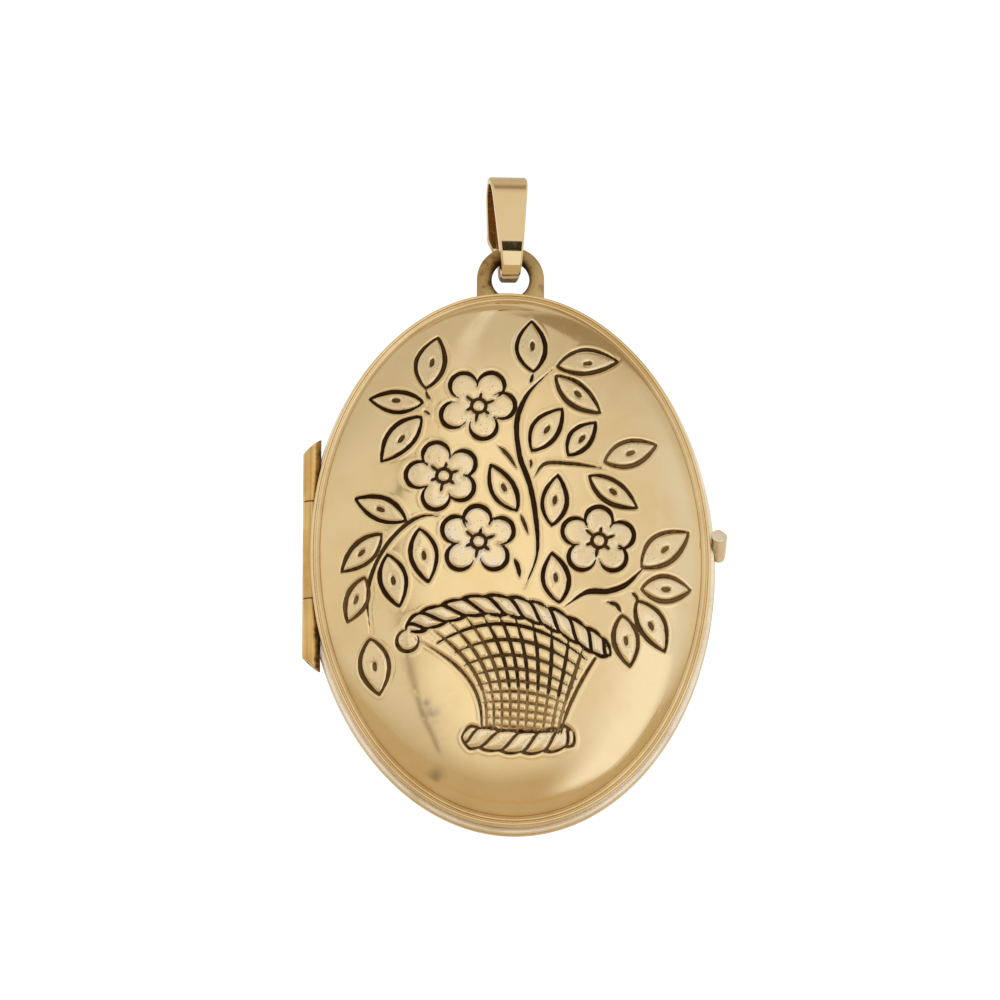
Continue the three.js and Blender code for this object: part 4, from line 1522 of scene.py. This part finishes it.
def bail_outlines(count):
    """The strap's inner and outer line, as the same number of points each."""
    upper = -BAIL_TOP
    inner = np.vstack([
        arc(upper, BAIL_TOP, 90, 180, 30), arc(BAIL_FOOT_UP, BAIL_FOOT_INNER, 182, 358, 60),
        arc(upper, BAIL_TOP, 0, 90, 30)[:-1],
    ])
    corners = [
        *arc(upper, BAIL_TOP + STRAP, 90, 180, 24),
        (-1.58, -4.3), (-1.5, -5.05), (-1.3, -5.98), (-0.85, -6.6), (0.4, -6.74),
        (1.1, -6.35), (1.5, -5.6), (1.6, -4.9),
        *arc(upper, BAIL_TOP + STRAP, 0, 90, 24)[:-1],
    ]
    outer = rounded_section(corners, 0.12, steps=5)
    return resample(inner, count), resample(outer, count)


STRAP_ENDS = np.array([0.0, -6.5])
strap_widths = bail_half_width(-1, STRAP_ENDS)
print("bail half width near the top and the foot, mm:", np.round(strap_widths, 2))

# %% [markdown]
# ### The strap
# For every step round the side view there is one section from the inner line to the outer
# one, as wide as the strap is there, with its outer edges bevelled. The closed loft is
# then twisted and tilted a little, because a bail never hangs quite square. Shade is
# painted under the foot, and the strap is browner where it turns over at the top.

# %% Bail
STRAP_BEVEL = 0.13
STRAP_SOFT = 0.05  # how much the inner edges are softened


def bail_shape(count=260):
    """Points, faces, painted shade under the foot and browning at the top of the folded strap."""
    inner, outer = bail_outlines(count)
    rings = []
    for (in_y, in_z), (out_y, out_z) in zip(inner, outer):
        thick = np.array([out_y - in_y, out_z - in_z])
        inward = -thick / np.hypot(*thick)
        lip_y, lip_z = np.array([out_y, out_z]) + inward * STRAP_BEVEL
        w_in, w_lip, w_out = (
            float(bail_half_width(y, z)) for y, z in ((in_y, in_z), (lip_y, lip_z), (out_y, out_z))
        )
        soft_y, soft_z = np.array([in_y, in_z]) - inward * STRAP_SOFT
        ring = [
            (-w_in + STRAP_SOFT, in_y, in_z),
            (w_in - STRAP_SOFT, in_y, in_z),
            (w_in, soft_y, soft_z),
            (w_lip, lip_y, lip_z),
            (w_out - STRAP_BEVEL, out_y, out_z),
            (-w_out + STRAP_BEVEL, out_y, out_z),
            (-w_lip, lip_y, lip_z),
            (-w_in, soft_y, soft_z),
        ]
        rings.append(np.array(ring))
    points, faces = loft(rings, capped=False)
    c, s = math.cos(BAIL_TWIST), math.sin(BAIL_TWIST)
    x, y = points[:, 0].copy(), points[:, 1].copy()
    points[:, 0], points[:, 1] = x * c - y * s, x * s + y * c
    c, s = math.cos(BAIL_TILT), math.sin(BAIL_TILT)
    x, z = points[:, 0].copy(), points[:, 2] - BAIL_FOOT_UP
    points[:, 0], points[:, 2] = x * c - z * s + BAIL_SHIFT, x * s + z * c + BAIL_FOOT_UP
    # Painted shade under the rear of the foot.
    foot = np.clip((-5.5 - points[:, 2]) / 0.4, 0, 1) * np.clip((points[:, 1] + 0.7) / 0.4, 0, 1)
    # Browner where the strap turns over at the top.
    bend = np.clip((points[:, 2] + 0.6) / 0.9, 0, 1)
    return points * MM, faces, 1.1 * foot, 0.45 * bend


shape, faces, shade_and_dirt, tarnish = bail_shape()
bail = make_piece(
    "bail_strap_folded", shape, faces, bail_gold, "bail", ["bail_strap"], 30
)
put_on(bail, "shade_and_dirt", shade_and_dirt)
put_on(bail, "tarnish", tarnish)

# %% [markdown]
# ## Light
# A jeweller lights polished metal with big soft sources and a few dark cards: the metal
# shows those shapes, and without the cards it would look white and flat. Blender's area
# lights have hard edges in a mirror, so each source here is a mesh that glows and fades
# out towards its edges. Apart from the backdrop, they are seen only in reflections.

# %% Cards that glow
scene = bpy.context.scene
scene.view_settings.view_transform = "Standard"
scene.view_settings.look = "None"


def glow(name, colour, strength, soft):
    """A light of its own colour that fades out over its soft share near its edges."""
    material = bpy.data.materials.new(name)
    material.use_nodes = True
    tree = material.node_tree
    tree.nodes.clear()
    across = add_node(tree, "ShaderNodeAttribute", attribute_name="card").outputs["Vector"]
    parts = add_node(tree, "ShaderNodeSeparateXYZ", {"Vector": across})
    fade = maths(
        tree, "MULTIPLY",
        remap(tree, parts.outputs[0], 0.0, soft[0]),
        remap(tree, parts.outputs[1], 0.0, soft[1]),
    )
    light = add_node(tree, "ShaderNodeEmission", {"Color": colour, "Strength": strength})
    clear = add_node(tree, "ShaderNodeBsdfTransparent")
    both = add_node(
        tree, "ShaderNodeMixShader", {0: fade, 1: clear.outputs[0], 2: light.outputs[0]}
    )
    out = tree.nodes.new("ShaderNodeOutputMaterial")
    tree.links.new(both.outputs[0], out.inputs["Surface"])
    return material


CENTRE = Vector((0, CASE_Y * MM, CASE_Z * MM))


CARD_POINTS = 9  # along each side


def card(
    name, azimuth, elevation, size, colour, strength, soft, seen_from=CENTRE, distance=0.4, lean=0
):
    """A card placed and sized by angles seen from a point of the locket, which it faces.

    lean tips its top back, in degrees.
    """
    a, e = math.radians(azimuth), math.radians(elevation)
    away = Vector((math.sin(a) * math.cos(e), -math.cos(a) * math.cos(e), math.sin(e)))
    spot = seen_from + away * distance
    right = Vector((0, 0, 1)).cross(away).normalized()
    up = away.cross(right)
    up = up * math.cos(math.radians(lean)) + away * math.sin(math.radians(lean))
    reach = [distance * math.tan(math.radians(angle / 2)) for angle in size]
    line = np.linspace(-1, 1, CARD_POINTS)
    spots = [spot + right * (i * reach[0]) + up * (j * reach[1]) for j in line for i in line]
    index = np.arange(CARD_POINTS**2).reshape(CARD_POINTS, CARD_POINTS)
    corners = (index[:-1, :-1], index[:-1, 1:], index[1:, 1:], index[1:, :-1])
    faces = np.stack(corners, axis=-1).reshape(-1, 4).tolist()
    mesh = bpy.data.meshes.new(name)
    mesh.from_pydata([tuple(s) for s in spots], [], faces)
    edge = mesh.attributes.new("card", "FLOAT_VECTOR", "POINT")
    inside = [v for j in line for i in line for v in (1 - abs(i), 1 - abs(j), 0)]
    edge.data.foreach_set("vector", inside)
    mesh.materials.append(glow(name, colour, strength, soft))
    holder = bpy.data.objects.new(name, mesh)
    scene.collection.objects.link(holder)
    holder.visible_camera = False
    holder.visible_shadow = False
    holder.visible_diffuse = False
    return holder


print("middle of the locket, mm:", [round(v / MM, 2) for v in CENTRE])

# %% [markdown]
# ### The room
# What isn't a card is the room: a white tent, a little darker above, and warm and dimmer
# below, where a table would be. An image of a real room would bring in shapes that don't
# belong to the locket, so the world is a plain gradient by height.

# %% World
world = scene.world or bpy.data.worlds.new("studio")
scene.world = world
world.use_nodes = True
tree = world.node_tree
background = tree.nodes["Background"]
heading = add_node(tree, "ShaderNodeTexCoord").outputs["Generated"]
height = add_node(tree, "ShaderNodeSeparateXYZ", {"Vector": heading}).outputs[2]
upper = remap(tree, height, 0.3, 0.6, 0.93, 0.76)
lower = remap(tree, height, -0.25, 0.1, 0.72, 1.0)
bright = maths(tree, "MULTIPLY", upper, lower)
tree.links.new(bright, background.inputs["Strength"])
warmth = remap(tree, height, 0.0, -0.3)
colour = mix_colours(tree, warmth, (1, 0.985, 0.96, 1), (1, 0.84, 0.62, 1))
tree.links.new(colour, background.inputs["Color"])
print("room nodes:", len(tree.nodes))

# %% [markdown]
# ### Softboxes and flags
# Cool softboxes stand on the right, a warmer one in the middle, and one thin strip lights
# the top left of the dome. Brown flags darken the top corners and the foot, and a thin
# dark seam in front of the middle softbox draws a soft line down the left of the dome. The
# bail's front is flat and turned to the right, so it gets a dark card of its own close in
# front, tilted so that the dome sees it edge on. One even light all round would be
# simpler, but gold looks dead in it.

# %% Softboxes and flags
COOL = (0.93, 0.97, 1.08, 1)
BROWN = (0.50, 0.42, 0.32, 1)
WARM_WHITE = (1.0, 0.99, 0.96, 1)
SEAM_GREY = (0.42, 0.38, 0.32, 1)
LOW_BROWN = (0.62, 0.46, 0.28, 1)
NEAR_BLACK = (0.03, 0.02, 0.012, 1)
card("softbox_right", 44, 14, (46, 60), COOL, 1.0, (0.9, 0.9))
card("softbox_low", 28, -8, (42, 48), COOL, 1.3, (0.75, 0.5))
card("flag_top_right", 65, 60, (66, 30), BROWN, 0.85, (0.1, 0.6))
card("flag_top_left", -40, 74, (44, 20), BROWN, 1.2, (0.2, 0.5))
card("strip_top_left", -9, 50, (6, 50), COOL, 1.02, (0.4, 0.3), distance=0.43)
card("softbox_middle", -2, 10, (30, 50), WARM_WHITE, 1.22, (0.8, 0.8), distance=0.42)
card("seam", -15, 12, (2.2, 44), SEAM_GREY, 0.9, (0.7, 0.2))
card("flag_low", 0, -38, (80, 24), LOW_BROWN, 1.1, (0.5, 0.8))
BAIL_FRONT = Vector((-0.2 * MM, -1.55 * MM, -4.68 * MM))
card("flag_bail", 17, 2.4, (60, 24), NEAR_BLACK, 1.0, (0.1, 0.1), BAIL_FRONT, 0.003, 22)

# %% [markdown]
# ### Backdrop and floor
# The locket hangs in front of plain white paper. The backdrop is a bright card that only
# the camera sees, so it doesn't wash out the metal, and the floor is a sheet of warm
# paper far below, which gives the metal a warm lower edge to reflect. A curved sweep of
# paper would look the same from the front but would light the back of the case.

# %% Backdrop and floor
PAPER_LIGHT = (0.86, 0.74, 0.55, 1)
PAPER_DARK = (0.80, 0.67, 0.48, 1)
FLOOR_UP = -0.25
backdrop = card("backdrop", 180, 14.5, (60, 60), (1, 1, 1, 1), 1.1, (0.001, 0.001), distance=1.5)
backdrop.visible_camera = True
backdrop.visible_glossy = False
backdrop.visible_transmission = False

floor_mesh = bpy.data.meshes.new("floor")
floor_mesh.from_pydata(
    [(-1, -1, FLOOR_UP), (1, -1, FLOOR_UP), (1, 1, FLOOR_UP), (-1, 1, FLOOR_UP)],
    [],
    [(0, 1, 2, 3)],
)
floor_mesh.materials.append(paper_material("floor_paper", PAPER_LIGHT, PAPER_DARK, 40))
floor = bpy.data.objects.new("floor", floor_mesh)
scene.collection.objects.link(floor)
print("floor, mm below the top of the bail:", round(-FLOOR_UP / MM))

# %% [markdown]
# ## Camera
# The camera stands half a metre away with a long lens, a little below the locket and
# looking up at it. A short lens close by would swell the dome and shrink the rim.

# %% Camera
CAMERA_ELEVATION = -14.5
CAMERA_DISTANCE = 0.5
LENS = 272.7
elevation = math.radians(CAMERA_ELEVATION)
away = Vector((0, -math.cos(elevation), math.sin(elevation)))
right = Vector((1, 0, 0))
up = Vector((0, math.sin(elevation), math.cos(elevation)))
target = CENTRE - right * 0.70 * MM + up * 4.03 * MM
camera_data = bpy.data.cameras.new("camera")
camera_data.lens = LENS
camera_data.sensor_width = 36
camera = bpy.data.objects.new("camera", camera_data)
scene.collection.objects.link(camera)
camera.location = target + away * CAMERA_DISTANCE
camera.rotation_euler = (-away).to_track_quat("-Z", "Y").to_euler()
scene.camera = camera
print("camera at, mm:", [round(v / MM) for v in camera.location])

# %% [markdown]
# ## Finish

# %% Finish
print("pieces made")
